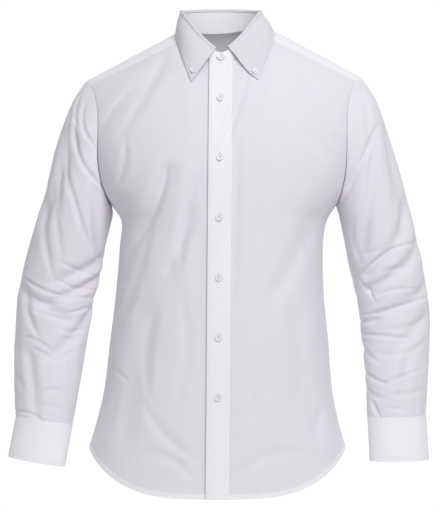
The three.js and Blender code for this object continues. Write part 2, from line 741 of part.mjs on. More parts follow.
function button(name, size, at, normal, material) {
  const { radius, height } = size;
  const profile = [
    [0, 0],
    [radius * 0.7, 0],
    [radius, height * 0.45],
    [radius, height * 0.75],
    [radius * 0.86, height],
    [radius * 0.66, height * 0.72],
    [0, height * 0.66],
  ];
  const outline = profile.map(([r, h]) => new THREE.Vector2(r, h));
  const geometry = new THREE.LatheGeometry(outline, BUTTON_SIDES);
  const mesh = add(name, geometry, material);
  mesh.quaternion.setFromUnitVectors(new THREE.Vector3(0, 1, 0), normal);
  mesh.position.copy(at).addScaledVector(normal, SEAM_GAP);
}

for (const hand of [1, -1]) {
  const side = sideName(hand);
  const sleeve = sleeveSheet(hand);
  add(`sleeve_${side}`, wall(sleeve, -CLOTH, 0), cloth());

  // The sleeve's placket lies on the two columns round the cuff's opening
  const columns = sleeve.points[0].length;
  const first = hand > 0 ? columns - 1 - BACK_ARM_ROWS : BACK_ARM_ROWS - 2;
  const cut = (grid) => grid.slice(0, PLACKET_ROWS + 1).map((row) => row.slice(first, first + 3));
  const strip = { points: cut(sleeve.points), normals: cut(sleeve.normals), closed: false };
  add(`sleeve_placket_${side}`, wall(strip, SEAM_GAP, SEAM_GAP + CLOTH), cloth());

  const cuff = cuffSheet(hand);
  const inner = (j) => cuffLayer(j) - BAND;
  add(`cuff_${side}`, wall(cuff, inner, cuffLayer), fused());

  // The button sits in the middle of the cuff's height, near the end of the lap
  const buttonAngle = CUFF_OPENS - hand * (360 + CUFF_LAP - CUFF_BUTTON_IN);
  const at = cuffPoint(hand, buttonAngle, 0.5);
  const ahead = cuffPoint(hand, buttonAngle - hand, 0.5);
  const behind = cuffPoint(hand, buttonAngle + hand, 0.5);
  const upCuff = cuffPoint(hand, buttonAngle, 1).sub(cuffPoint(hand, buttonAngle, 0));
  const normal = ahead.sub(behind).cross(upCuff).normalize();
  at.addScaledVector(normal, CUFF_PROUD);
  button(`button_cuff_${side}`, SMALL_BUTTON, at, normal, pearl());
}

// Collar

function foldPoint(angle) {
  const s = Math.abs(Math.sin(rad(angle)));
  const c = Math.cos(rad(angle));
  const rise = Math.abs(c) ** FOLD_BACK_POWER;
  const z = c > 0 ? mix(FOLD_FRONT, FOLD_SIDE, s ** FOLD_POWER) : mix(FOLD_SIDE, FOLD_BACK, rise);
  const depth = c > 0 ? STAND_FRONT_DEPTH : STAND_BACK_DEPTH;
  return new THREE.Vector3(STAND_X * Math.sin(rad(angle)), SIDE_Y - depth * c, z);
}

// The directions out from the neck and up at the fold
function foldFrame(angle) {
  const way = foldPoint(angle + 1).sub(foldPoint(angle - 1)).normalize();
  const out = way.clone().cross(new THREE.Vector3(0, 0, 1)).normalize();
  return { out, up: out.clone().cross(way).normalize() };
}

// The fronts and the yoke have these columns along the neck, and are straight between them
const neckStep = (k) => mix(neckAngle(BAND_HALF), NECK_YOKE_AT, k / NECK_COLUMNS);
const neckAngles = [-neckAngle(BAND_HALF), 0];
for (let k = 0; k < NECK_COLUMNS; k += 1) neckAngles.push(neckStep(k));
for (let k = 0; k < yokeColumns; k += 1)
  neckAngles.push(mix(NECK_YOKE_AT, 360 - NECK_YOKE_AT, k / yokeColumns));
for (let k = NECK_COLUMNS; k >= 0; k -= 1) neckAngles.push(360 - neckStep(k));
neckAngles.push(360, 360 + neckAngle(UNDER_EDGE));

// The stand has one more column between each two in front, where its top bends most
const standAngles = neckAngles.flatMap((angle, k) => {
  const next = neckAngles[k + 1];
  const inFront = Math.cos(rad(angle)) > 0.9 && next !== undefined;
  return inFront ? [angle, (angle + next) / 2] : [angle];
});

function standFoot(angle) {
  const k = Math.max(1, neckAngles.findIndex((a) => a >= angle));
  const [before, after] = [neckAngles[k - 1], neckAngles[k]];
  const share = (angle - before) / (after - before);
  return necklinePoint(before).lerp(necklinePoint(after), share);
}

const standSheet = sheet(STAND_ROWS, standAngles.length - 1, (i, j) => {
  const angle = standAngles[j];
  const low = standFoot(angle);
  low.z += angle > UNDER_LAP_FROM ? UNDER_LAP_RISE : SEAM_GAP;
  const high = foldPoint(angle).addScaledVector(foldFrame(angle).up, -STAND_BELOW_FOLD);
  return low.lerp(high, i / STAND_ROWS);
});
const standLayer = (j) => lapDrop * smooth(STAND_DROP.from, STAND_DROP.to, standAngles[j]);
add("collar_stand", wall(standSheet, (j) => standLayer(j) - BAND, standLayer), fused());

const leafRows = LEAF_FALL_ROWS + LEAF_ROLL.length;
const leafEdge = LEAF_EDGE.map((row) => new THREE.Vector3(row.x, row.over, 0));

function leafPoint(u, row) {
  const angle = mix(LEAF_FROM, LEAF_TO, u);
  const fold = foldPoint(angle);
  const frame = foldFrame(angle);
  const roll = (k) =>
    fold.clone().addScaledVector(frame.out, LEAF_ROLL[k].out).addScaledVector(frame.up, LEAF_ROLL[k].up);
  if (row >= LEAF_FALL_ROWS) return roll(Math.min(row - LEAF_FALL_ROWS, LEAF_ROLL.length - 1));
  const edge = along(leafEdge, u);
  const foot = overShoulder(edge.x, edge.y);
  const ahead = overShoulder(edge.x, edge.y + 0.02).sub(overShoulder(edge.x, edge.y - 0.02));
  const beside = overShoulder(edge.x + 1, edge.y).sub(overShoulder(edge.x - 1, edge.y));
  foot.addScaledVector(beside.cross(ahead).normalize(), LEAF_LIFT);
  return foot.lerp(roll(0), row / LEAF_FALL_ROWS);
}

const leafSheet = sheet(leafRows - 1, LEAF_COLUMNS, (i, j) => leafPoint(j / LEAF_COLUMNS, i));
add("collar_leaf", wall(leafSheet, -BAND, 0), fused());

// Buttons down the front, on the stand and at the points of the leaf

function bandPoint(z) {
  const at = bodyPoint(0, z, -1);
  const across = bodyPoint(1, z, -1).sub(bodyPoint(-1, z, -1));
  const up = bodyPoint(0, z + 1, -1).sub(bodyPoint(0, z - 1, -1));
  return { at, normal: across.cross(up).normalize() };
}

for (let k = 0; k < BUTTON_COUNT; k += 1) {
  const { at, normal } = bandPoint(FIRST_BUTTON - BUTTON_STEP * k);
  at.addScaledVector(normal, SEAM_GAP + BAND);
  button(`button_${k + 1}`, BUTTON, at, normal, pearl());
}

{
  const low = necklinePoint(0);
  const high = foldPoint(0);
  const rise = (STAND_BUTTON_Z - low.z) / (high.z - low.z);
  const at = low.clone().lerp(high, rise);
  const normal = new THREE.Vector3(1, 0, 0).cross(high.sub(low)).normalize();
  button("button_stand", BUTTON, at, normal, pearl());
}

for (const place of LEAF_BUTTONS) {
  const point = (u, row) => {
    const below = leafPoint(u, Math.floor(row));
    return below.lerp(leafPoint(u, Math.floor(row) + 1), row - Math.floor(row));
  };
  const at = point(place.u, place.row);
  const across = point(place.u + 0.005, place.row).sub(point(place.u - 0.005, place.row));
  const up = leafPoint(place.u, 1).sub(leafPoint(place.u, 0));
  button(place.name, SMALL_BUTTON, at, across.cross(up).normalize(), pearl());
}

export default shirt;
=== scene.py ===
"""A long sleeve dress shirt with a button-down collar, hollow, in the shape that it has when worn."""

import math

import bmesh
import bpy
import numpy as np
from mathutils import Matrix, Vector


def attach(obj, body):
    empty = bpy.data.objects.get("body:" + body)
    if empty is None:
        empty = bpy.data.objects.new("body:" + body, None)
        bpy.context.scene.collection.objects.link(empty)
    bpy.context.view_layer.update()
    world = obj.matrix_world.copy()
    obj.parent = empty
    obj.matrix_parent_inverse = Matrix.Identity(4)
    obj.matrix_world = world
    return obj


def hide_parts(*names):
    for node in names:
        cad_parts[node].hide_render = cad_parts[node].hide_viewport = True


bl_info = {
    "name": "Dress Shirt",
    "version": (1, 0, 0),
    "blender": (4, 5, 0),
    "location": "3D View > Sidebar > Shirt",
    "description": "Dresses the solids of a long sleeve shirt in cotton, stitching and buttons",
    "category": "Object",
}

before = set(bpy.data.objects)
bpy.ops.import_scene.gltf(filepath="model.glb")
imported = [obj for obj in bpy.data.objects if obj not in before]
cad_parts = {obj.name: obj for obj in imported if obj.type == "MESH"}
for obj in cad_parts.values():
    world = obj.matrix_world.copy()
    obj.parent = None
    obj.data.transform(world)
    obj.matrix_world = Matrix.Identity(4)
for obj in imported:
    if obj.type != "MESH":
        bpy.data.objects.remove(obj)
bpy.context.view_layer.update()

# Sizes in millimetres, the same as the solids have
MM = 0.001  # a millimetre in metres
SEAM_GAP = 0.3
# The sides as the wearer has them: the sign of their x, and their name
HANDS = ((1, "left"), (-1, "right"))
LEAN = 0.008  # how far the body leans to the wearer's left, for each millimetre up

# Body sections from the hem up: half width on the wearer's right and left, depth in front and behind
BODY_COLUMNS = ("z", "right", "left", "front", "back")
BODY = (
    (-800, 227, 226, 106, 112),
    (-680, 211, 210, 110, 113),
    (-640, 200, 199, 112, 112),
    (-587, 188, 188, 114, 108),
    (-508, 179, 181, 117, 99),
    (-429, 170, 173, 119, 95),
    (-350, 164, 171, 120, 100),
    (-310, 162, 177, 121, 105),
    (-285, 178, 192, 121, 108),
    (-255, 199, 209, 121, 112),
    (-180, 222, 230, 121, 117),
    (-130, 234, 242, 121, 118),
    (-60, 248, 256, 121, 118),
    (60, 258, 266, 121, 118),
)
# Where the sides lie, and how square the section is in front and behind: 2 is an ellipse
SIDE_Y = 4
FRONT_ROUND = 2.3
BACK_ROUND = 2.2

# The shoulder ridge from in front: a curve in the middle and straight slopes beyond it
RIDGE_TOP = 20
RIDGE_CURVE = 0.0028
RIDGE_SHIFT = 11
SHOULDER_SLOPE = 0.535
# Heights where front and back begin to close towards the ridge, and how round they close
FRONT_ARCH_FROM, FRONT_ARCH_POWER = -240, 1.6
BACK_ARCH_FROM, BACK_ARCH_POWER = -150, 2.1

SIDE_HEM = -682
FRONT_HEM = -756
BACK_HEM = -768
HEM_POWER = 3.5

# Armholes and neckline: the yoke's corners in degrees round them, the neckline over the shoulder
UNDERARM = -285
SHOULDER_X = {-1: 223, 1: 232}
CHEST_X = {-1: 199, 1: 206}
FRONT_YOKE_AT = 24
BACK_YOKE_AT = -46
NECK_X = 66
NECK_FRONT = 0.458
NECK_BACK = 0.274
NECK_POWER = 1.1
NECK_YOKE_AT = 56
BACK_YOKE = -92

# The button band, and the right front that lies under it
BAND_HALF = 18.5
UNDER_EDGE = 17
UNDER_DROP = 2.8
UNDER_BLEND = 40
FIRST_BUTTON = -116
BUTTON_STEP = 95.2
BUTTON_COUNT = 6

# The collar: its stand up to the fold, and the leaf that runs round it between two angles
STAND_X = 64
STAND_FRONT_DEPTH = 68
STAND_BACK_DEPTH = 46
FOLD_FRONT = -35
FOLD_SIDE = 37
FOLD_BACK = 45
FOLD_POWER = 1.5
FOLD_BACK_POWER = 1.3
STAND_BELOW_FOLD = 4
STAND_BUTTON_Z = -47
LEAF_LIFT = 3.4
LEAF_POINT_LIFT = 2.3
LEAF_FROM = 10
LEAF_TO = 353

# The leaf's edge from the wearer's left point round the back: x, and the place over the shoulder
LEAF_EDGE = (
    (60, -0.53),
    (76, -0.37),
    (86, -0.2),
    (83, -0.02),
    (72, 0.17),
    (42, 0.3),
    (0, 0.34),
    (-40, 0.3),
    (-66, 0.17),
    (-73, -0.01),
    (-73, -0.17),
    (-63, -0.37),
    (-47, -0.535),
)
# The leaf's roll over the stand: out from the stand's face, and up from the fold
LEAF_ROLL = ((4.6, -4.5), (3.9, -0.8), (1.4, 1.4), (-1.2, -0.8), (-1.6, -3.5))

# Sleeve stations: outer x and z, inner x and z, middle and half depth
SLEEVES = {
    -1: (
        (247, -118, 179, -300, 5, 60),
        (272, -187, 184, -322, 6, 61),
        (292, -268, 191, -350, 8, 60),
        (314, -338, 197, -385, 11, 57),
        (330, -400, 204, -418, 13, 54),
        (339, -455, 213, -458, 11, 51),
        (341, -515, 223, -521, 3, 47),
        (340, -568, 231, -574, -10, 42),
        (337, -626, 243, -642, -22, 33),
    ),
    1: (
        (257, -113, 194, -298, 5, 60),
        (282, -187, 198, -316, 6, 61),
        (304, -262, 204, -343, 8, 60),
        (325, -343, 212, -386, 11, 57),
        (338, -408, 221, -420, 13, 54),
        (345, -460, 229, -466, 11, 51),
        (344, -515, 234, -521, 3, 47),
        (340, -568, 238, -574, -10, 42),
        (335, -628, 239, -630, -22, 33),
    ),
}
CUFF_ENDS = {-1: (349, -694, 255, -711, -33, 28), 1: (339, -700, 242, -702, -33, 28)}
# How far a cuff stands out from its sleeve, and how far an end that lies under is drawn in
CUFF_PROUD = 0.6
LAP_DROP = -2.1
# How far the leaf bulges beside its points, and how far its left front edge bows inwards
LEAF_SWELL = 3.5
LEAF_BOW = 4.5
# Buttonholes: longer than their button by the ease, and turned by degrees from upright
BUTTONHOLE_EASE = 4.4
BUTTONHOLE_WIDE = 2.4
BUTTONHOLE_LEANS = {
    "button_stand": 90,
    "button_collar_left": 24,
    "button_collar_right": -20,
    "button_cuff_left": 90,
    "button_cuff_right": 90,
}
# Buttons of the points: share of the way round the leaf, and up from its edge
LEAF_BUTTONS = {"left": (0.017, 0.075), "right": (0.982, 0.11)}
BAND_TOP = SEAM_GAP + 1.75  # where a button stands on the band, out from the left front
# Degrees round a sleeve: where its cuff ends, how far the cuff laps, its button, its placket
CUFF_OPENS = -62.75
CUFF_LAP = 38
CUFF_BUTTON_IN = 14
PLACKET_HALF = 16.75
PLACKET_TOP = 7 * 9 / 25  # stations that the sleeve's placket runs up from the cuff
LAST_STATION = 8

# Main folds of the body: both ends as seen from the front or back, half width, depth and bow
FRONT_FOLDS = (
    (-92, -62, -188, -148, 17, 5, 0),
    (112, -68, 190, -150, 17, 4.5, 0),
    (-86, -240, -160, -400, 19, 7, 0),
    (-45, -310, -78, -385, 16, 5, 0),
    (160, -300, 95, -420, 20, 5, 0),
    (120, -480, 160, -640, 24, 5, 0),
    (-115, -470, -150, -650, 24, 5, 0),
)
BACK_FOLDS = (
    (-180, -190, -110, -330, 20, 4, 0),
    (175, -200, 120, -360, 20, 4.5, 0),
    (-60, -300, -75, -520, 22, 4, 0),
    (45, -340, 65, -560, 22, 4, 0),
    (-130, -480, -150, -660, 22, 3, 0),
    (125, -500, 145, -670, 22, 3, 0),
)
# Finer creases that only the cloth has, in the same columns
FRONT_CREASES = (
    (27, -255, 5, -362, 9, 2.2, 3),
    (-87, -31, -160, -173, 12, 4.3, 5),
    (-139, -94, -190, -157, 6, 3.5, -4),
    (-117, -41, -180, -87, 9, 3, -2),
    (-152, -186, -165, -252, 9, 3.5, 5),
    (-84, -233, -140, -358, 7, 3.8, 9),
    (-35, -239, -61, -378, 12, 3.2, -7),
    (-111, -335, -167, -498, 12, 4.6, 1),
    (-101, -457, -112, -581, 12, 2.7, -7),
    (-178, -546, -144, -571, 5, 3, 1),
    (139, -346, 165, -441, 9, 3, 3),
    (45, -71, 8, -190, 8, 3.2, 2),
    (31, -107, 13, -193, 6, 1.6, -3),
    (120, -71, 186, -155, 9, 3.5, -1),
    (144, -84, 193, -130, 6, 2.7, -6),
    (68, -54, 58, -130, 9, 2.2, 5),
    (130, -160, 188, -210, 12, 2.4, -8),
    (28, -193, 20, -441, 12, 2.2, 1),
    (114, -441, 124, -606, 16, 2.2, 12),
    (48, -573, 58, -721, 16, 1.9, 16),
    (-167, -589, -193, -672, 12, 3, 3),
    (-117, -606, -41, -688, 12, 2.4, -9),
    (-58, -441, -68, -606, 14, 2.2, 12),
    (-150, -705, -41, -721, 12, 2.2, 28),
    (31, -721, 130, -681, 12, 1.9, 14),
    (173, -606, 167, -678, 10, 2.4, -10),
)
BACK_CREASES = (
    (-170, -200, -100, -300, 7, 1.4, 6),
    (-150, -240, -95, -380, 8, 1.4, -6),
    (165, -200, 110, -330, 7, 1.4, -6),
    (140, -250, 90, -400, 8, 1.4, 6),
    (-30, -330, -48, -520, 9, 1.3, 5),
    (20, -300, 34, -480, 9, 1.3, -5),
    (-95, -420, -120, -600, 10, 1.3, 6),
    (95, -430, 118, -620, 10, 1.3, -6),
    (-150, -330, -80, -360, 8, 1.2, 5),
    (150, -350, 85, -385, 8, 1.2, -5),
    (-60, -600, -80, -720, 12, 1.0, 5),
    (60, -590, 78, -720, 12, 1.0, -5),
)
# Main folds of a sleeve: station and degrees at both ends, half width and depth in millimetres
SLEEVE_FOLDS = {
    -1: (
        (0.4, 60, 2.3, 40, 17, 5, 0),
        (0.5, 115, 2.4, 150, 16, 4, 0),
        (2.7, 165, 4.0, 95, 16, 6, 0),
        (3.5, 175, 4.8, 85, 15, 6, 0),
        (4.3, 20, 5.2, 110, 14, 4, 0),
        (5.0, 170, 6.2, 100, 15, 5, 0),
        (6.3, 60, 8.2, 80, 13, 4, 0),
        (3.0, -160, 4.6, -70, 16, 5, 0),
        (4.6, -170, 5.8, -80, 16, 5, 0),
        (1.0, -110, 2.8, -140, 18, 4, 0),
    ),
    1: (
        (0.5, 70, 2.4, 125, 17, 5, 0),
        (0.8, 25, 2.6, 45, 17, 4, 0),
        (2.3, 30, 3.5, 125, 15, 5, 0),
        (3.1, 20, 4.1, 130, 15, 6, 0),
        (4.2, 25, 5.1, 125, 15, 5, 0),
        (5.2, 40, 6.3, 120, 15, 4, 0),
        (6.4, 75, 8.2, 95, 13, 4, 0),
        (2.8, -70, 4.3, -160, 16, 5, 0),
        (4.5, -75, 5.9, -165, 16, 5, 0),
        (1.1, -120, 2.9, -90, 18, 4, 0),
    ),
}
# Finer creases on the hidden side of a sleeve, in the same columns
SLEEVE_CREASES = {
    -1: (
        (3.2, -170, 4.2, -90, 6, 2.0, 6),
        (3.9, -165, 4.9, -80, 6, 2.0, -6),
        (4.8, -170, 5.6, -90, 6, 1.8, 6),
        (1.2, -60, 2.6, -100, 8, 1.6, 6),
        (7.2, -110, 8.3, -104, 5, 1.6, 0),
        (7.2, -135, 8.3, -132, 5, 1.6, 0),
    ),
    1: (
        (3.0, -80, 4.0, -165, 6, 2.0, 6),
        (3.8, -75, 4.8, -160, 6, 2.0, -6),
        (4.7, -85, 5.6, -168, 6, 1.8, 6),
        (1.2, -100, 2.6, -60, 8, 1.6, 6),
        (7.2, -104, 8.3, -110, 5, 1.6, 0),
        (7.2, -132, 8.3, -135, 5, 1.6, 0),
    ),
}
# Finer creases on the seen side of a sleeve, by x and z of both ends as seen from the front
SLEEVE_FRONT_CREASES = {
    -1: (
        (-325, -403, -262, -432, 5, 3.4, -4),
        (-319, -421, -299, -495, 8, 3.6, -7),
        (-311, -453, -244, -474, 4.5, 2.4, -3),
        (-251, -461, -214, -450, 4, 2.6, -2),
        (-264, -408, -208, -424, 5, 2.4, -5),
        (-261, -378, -205, -401, 5, 2, -2),
        (-328, -500, -276, -523, 4.5, 2.6, 6),
        (-307, -518, -276, -533, 4, 2, 0),
        (-267, -483, -219, -487, 5, 1.8, -7),
        (-239, -523, -267, -563, 8, 2.4, -9),
        (-305, -599, -256, -587, 5, 2.2, 7),
        (-340, -622, -289, -634, 4.5, 2.4, 5),
        (-302, -610, -252, -625, 6, 1.4, 6),
        (-335, -563, -320, -586, 8, 1.6, 0),
        (-241, -259, -211, -365, 6, 2.4, -2),
        (-287, -259, -274, -401, 8, 3, -8),
        (-266, -259, -259, -368, 7, 2.2, -4),
        (-246, -137, -236, -285, 7, 3, -13),
        (-234, -289, -213, -351, 6, 1.6, -2),
        (-231, -106, -233, -160, 5, 2.2, -6),
        (-221, -119, -200, -193, 5, 2.4, -14),
        (-239, -144, -178, -264, 6, 3, -21),
        (-257, -160, -259, -302, 7, 2.4, -6),
        (-252, -441, -206, -439, 5, 1.6, 4),
        (-236, -507, -236, -573, 7, 1.6, -10),
        (-332, -441, -332, -526, 7, 1.6, -5),
        (-259, -500, -233, -508, 5, 1.4, 0),
        (-312, -434, -256, -446, 5, 1.6, -5),
    ),
    1: (
        (325, -345, 224, -404, 5, 3.4, -12),
        (345, -434, 236, -465, 5, 3.4, 1),
        (315, -422, 243, -437, 4.5, 2.2, -6),
        (228, -408, 252, -442, 4, 2.6, -0),
        (323, -444, 272, -470, 4.5, 1.8, -4),
        (228, -477, 257, -473, 6, 2.6, 0),
        (229, -497, 302, -502, 4.5, 2.4, 1),
        (228, -546, 274, -576, 5, 3.2, -7),
        (262, -574, 325, -553, 4.5, 2, 0),
        (246, -602, 259, -632, 4.5, 2.8, -1),
        (269, -614, 299, -617, 4.5, 1.8, 0),
        (223, -365, 262, -358, 6, 1.4, 0),
        (254, -157, 200, -277, 7, 3, -0),
        (233, -111, 226, -226, 8, 2, 10),
        (272, -177, 279, -317, 10, 1.8, 6),
        (322, -391, 249, -401, 6, 1.8, -8),
        (335, -470, 269, -485, 7, 1.6, 6),
        (335, -507, 256, -526, 7, 1.8, 10),
        (233, -515, 256, -543, 5, 1.8, -2),
        (328, -586, 276, -592, 6, 1.6, 3),
        (315, -602, 318, -625, 5, 1.6, 0),
        (289, -602, 287, -627, 4, 1.2, 0),
        (236, -579, 269, -599, 6, 1.6, -7),
        (216, -312, 229, -378, 6, 1.6, -6),
    ),
}
CREASE_ENDS = 0.3  # share of a fine crease's length over which each end fades
STATION_STEP = 62  # millimetres that a station counts for in a sleeve's folds; a degree counts for 1

# Seams and hems: how deep a seam draws the cloth in, how far a hem lifts it, and their puckers
SEAM_DEEP = 0.75
SLEEVE_SEAM_DEEP = 0.4
SEAM_PUCKER = 0.16
HEM_LIFT = 0.55
HEM_PUCKER = 0.22
# The yoke's share of the lighter doubled colour: partly its second layer, partly painted light falling
# from above
YOKE_DOUBLED_AND_LIT = 0.8  # the yoke's second layer shows a little less than that of the band

# Stitching: lengths and thickness of a stitch, and how far a line of it lies in from the edge
STITCH_STEP = 2.6
STITCH_RADIUS = 0.24
HEM_WIDE = 8
HEM_STITCH = HEM_WIDE - 1.2
TOP_STITCH = 5.5
LEAF_STITCHED = 0.66  # share of the leaf's front edge, from its point up
EDGE_STITCH = 1.8
YOKE_STITCH = 2.2
FELL_STITCH = 6.5

# Parts of a button as shares of its radius
BUTTON_HEIGHT = 0.46
BUTTON_RIM = 0.12
BUTTON_SLOPE = 0.16
BUTTON_WELL = 0.1
HOLE_OUT = 0.27
HOLE_RADIUS = 0.14
THREAD_RADIUS = 0.12
# The same as shares of its height
WELL_DEEP = 0.3
THREAD_LEVEL = 0.78
EDGE_ROUND = 0.14

# Patterns: real threads lie 0.25 mm apart, and are drawn as wide apart as they must be to show
THREAD_GAP = 0.69115
SLUB_WIDE, SLUB_LONG = 1.53846, 41.6667
CLOUD_WIDE = 38.4615
TWIST_GAP = 0.349066
PEARL_WIDE = 2.38095
ROLLER_GRAIN = 16.6667

# The photo's camera, level and 3 m in front, and the floor, in metres
PHOTO_HIGH = 512 * 1.65 * MM
SENSOR = 36
CAMERA_AWAY = 3.0
CAMERA_X, CAMERA_Z = -0.0017, -0.368
LAMPS_AIM = (0, 0, -0.35)
FLOOR_TOP = -0.95
FLOOR_THICK = 0.03

# Places across and up the sheets
FRONT_GRID, BAND_GRID, BACK_GRID = 121, 19, 150
YOKE_GRID = (220, 60)
SLEEVE_GRID = (97, 65, 251)  # columns of the first and second half round, and rows along it
SLEEVE_PLACKET_GRID = (17, 61)
CUFF_GRID = (161, 36)
STAND_GRID = (221, 18)
LEAF_GRID = (241, 61)

# Column counts of the solids, which the sheets' places are counted in
LOW_ROWS = 17
FRONT_ARM_ROWS = 10
BACK_ARM_ROWS = 8
YOKE_ARM_COLUMNS = 6
NECK_COLUMNS = 5
SHOULDER_COLUMNS = 8
BACK_COLUMNS = 20
YOKE_COLUMNS = 2 * YOKE_ARM_COLUMNS + BACK_COLUMNS


# Small helpers


def mix(a, b, t):
    return a + (b - a) * t


def smooth(a, b, t):
    s = np.clip((t - a) / (b - a), 0.0, 1.0)
    return s * s * (3 - 2 * s)


def cos_of(angle):
    return np.cos(np.radians(angle))


def sin_of(angle):
    return np.sin(np.radians(angle))


def unit(vectors):
    length = np.linalg.norm(vectors, axis=-1, keepdims=True)
    return vectors / np.maximum(length, 1e-12)


def point(x, y, z):
    return np.stack(np.broadcast_arrays(x, y, z), axis=-1).astype(float)


def section(name, z):
    """A column of BODY at height z, on a smooth curve through the rows."""
    table = np.array(BODY, float)
    heights = table[:, 0]
    values = table[:, BODY_COLUMNS.index(name)]
    rows = np.arange(len(heights))
    before = np.maximum(rows - 1, 0)
    after = np.minimum(rows + 1, len(heights) - 1)
    slopes = (values[after] - values[before]) / (heights[after] - heights[before])
    k = np.clip(np.searchsorted(heights, z, side="left") - 1, 0, len(heights) - 2)
    span = heights[k + 1] - heights[k]
    t = np.clip((z - heights[k]) / span, 0.0, 1.0)
    t2 = t * t
    t3 = t2 * t
    return (
        (2 * t3 - 3 * t2 + 1) * values[k]
        + (t3 - 2 * t2 + t) * span * slopes[k]
        + (3 * t2 - 2 * t3) * values[k + 1]
        + (t3 - t2) * span * slopes[k + 1]
    )


def along(points, t):
    """Places on the smooth curve through points, whose first axis is the curve; t from 0 to 1."""
    last = len(points) - 1
    at = np.clip(t, 0.0, 1.0) * last
    k = np.minimum(last - 1, np.floor(at)).astype(int)
    f = (at - k).reshape(np.shape(at) + (1,) * (points.ndim - 1))
    a = points[np.maximum(0, k - 1)]
    b = points[k]
    c = points[k + 1]
    d = points[np.minimum(last, k + 2)]
    return 0.5 * (
        2 * b + (c - a) * f + (2 * a - 5 * b + 4 * c - d) * f**2 + (3 * b - a - 3 * c + d) * f**3
    )


def fold_depth(folds, a, b, ends=0.0):
    """How far folds sink the cloth at places a, b: each is a trough with a low ridge on both sides.

    Towards its ends, over this share of its length, a crease grows shallow and narrow.
    """
    depth = np.zeros(np.broadcast(a, b).shape)
    for from_a, from_b, to_a, to_b, wide, deep, bow in folds:
        run_a = to_a - from_a
        run_b = to_b - from_b
        length = math.hypot(run_a, run_b)
        lengthwise = ((a - from_a) * run_a + (b - from_b) * run_b) / length
        share = np.clip(lengthwise / length, 0.0, 1.0)
        across = ((b - from_b) * run_a - (a - from_a) * run_b) / length
        taper = smooth(-0.2, ends, np.minimum(share, 1 - share)) if ends else 1.0
        across = (across - 4 * bow * share * (1 - share)) / (wide * (0.4 + 0.6 * taper))
        past = np.maximum(0, np.maximum(-lengthwise, lengthwise - length)) / wide
        depth += deep * taper * (1 - across**2) * np.exp(-(across**2) - past**2)
    return depth


# Shape of the body


def ridge(x):
    bend = SHOULDER_SLOPE / (2 * RIDGE_CURVE)
    reach = np.abs(x - RIDGE_SHIFT)
    hump = RIDGE_CURVE * np.minimum(reach, bend) ** 2
    return RIDGE_TOP - hump - SHOULDER_SLOPE * np.maximum(0, reach - bend)


def half_width(x, z):
    return np.where(np.asarray(x) < 0, section("right", z), section("left", z))


def arch_of(side):
    if side < 0:
        return FRONT_ARCH_FROM, FRONT_ARCH_POWER
    return BACK_ARCH_FROM, BACK_ARCH_POWER


def section_depth(x, z, side):
    power = FRONT_ROUND if side < 0 else BACK_ROUND
    share = np.clip(np.abs(x) / half_width(x, z), 0.0, 1.0)
    full = section("front" if side < 0 else "back", z) - side * SIDE_Y
    main = fold_depth(FRONT_FOLDS if side < 0 else BACK_FOLDS, x, z)
    fine = fold_depth(FRONT_CREASES if side < 0 else BACK_CREASES, x, z, CREASE_ENDS)
    return (full - main - fine) * (1 - share**power) ** (1 / power)


def body_point(x, z, side):
    start, power = arch_of(side)
    share = np.clip((z - start) / (ridge(x) - start), 0.0, 1.0)
    closing = (1 - share**power) ** (1 / power)
    return point(x + LEAN * z, SIDE_Y + side * section_depth(x, z, side) * closing, z)


def over_of(x, z, side):
    """The place over the shoulder that belongs to a height: 0 on the ridge, side where the arch starts."""
    start, power = arch_of(side)
    share = np.clip((z - start) / (ridge(x) - start), 0.0, 1.0)
    return side * (1 - np.arcsin(share ** (power / 2)) / math.radians(90))


def over_shoulder(x, over):
    halves = []
    for side in (-1, 1):
        start, power = arch_of(side)
        turn = math.radians(90) * (1 - np.abs(over))
        z = mix(start, ridge(x), np.sin(turn) ** (2 / power))
        closing = np.maximum(np.cos(turn), 0) ** (2 / power)
        halves.append(point(x + LEAN * z, SIDE_Y + side * section_depth(x, z, side) * closing, z))
    return np.where((np.asarray(over) < 0)[..., None], halves[0], halves[1])


def armhole(hand, angle):
    """x and z of an armhole: the angle is 0 at the shoulder point, 90 in front, -90 behind."""
    c = cos_of(angle)
    top = ridge(hand * SHOULDER_X[hand])
    bottom_x = half_width(hand, UNDERARM)
    upper = mix(CHEST_X[hand], SHOULDER_X[hand], np.maximum(c, 0) ** 4)
    lower = mix(CHEST_X[hand], bottom_x, np.maximum(-c, 0) ** 3)
    x = np.where(c > 0, upper, lower)
    return hand * x, mix(UNDERARM, top, (1 + c) / 2)


def armhole_point(hand, angle):
    x, z = armhole(hand, angle)
    front = body_point(x, z, -1)
    back = body_point(x, z, 1)
    return np.where((np.asarray(angle) > 0)[..., None], front, back)


def armhole_over(hand, angle):
    x, z = armhole(hand, angle)
    return x, np.where(np.asarray(angle) > 0, over_of(x, z, -1), over_of(x, z, 1))


def neckline_over(angle):
    """x and the place over the shoulder: the angle is 0 in front and 90 on the wearer's left."""
    c = cos_of(angle)
    front = -NECK_FRONT * np.maximum(c, 0) ** NECK_POWER
    back = NECK_BACK * np.maximum(-c, 0) ** NECK_POWER
    return NECK_X * sin_of(angle), front + back


def neckline_point(angle):
    return over_shoulder(*neckline_over(angle))


def neck_angle(x):
    return np.degrees(np.arcsin(x / NECK_X))


def patch(bottom, top, start, end):
    """A patch between four edges, each a function from 0 to 1 that gives a pair of arrays."""

    def at(u, v):
        result = []
        for k in (0, 1):
            across = mix(bottom(u)[k], top(u)[k], v)
            up = mix(start(v)[k], end(v)[k], u)
            low = mix(bottom(0.0)[k], bottom(1.0)[k], u)
            high = mix(top(0.0)[k], top(1.0)[k], u)
            result.append(across + up - mix(low, high, v))
        return result

    return at


# Sheets


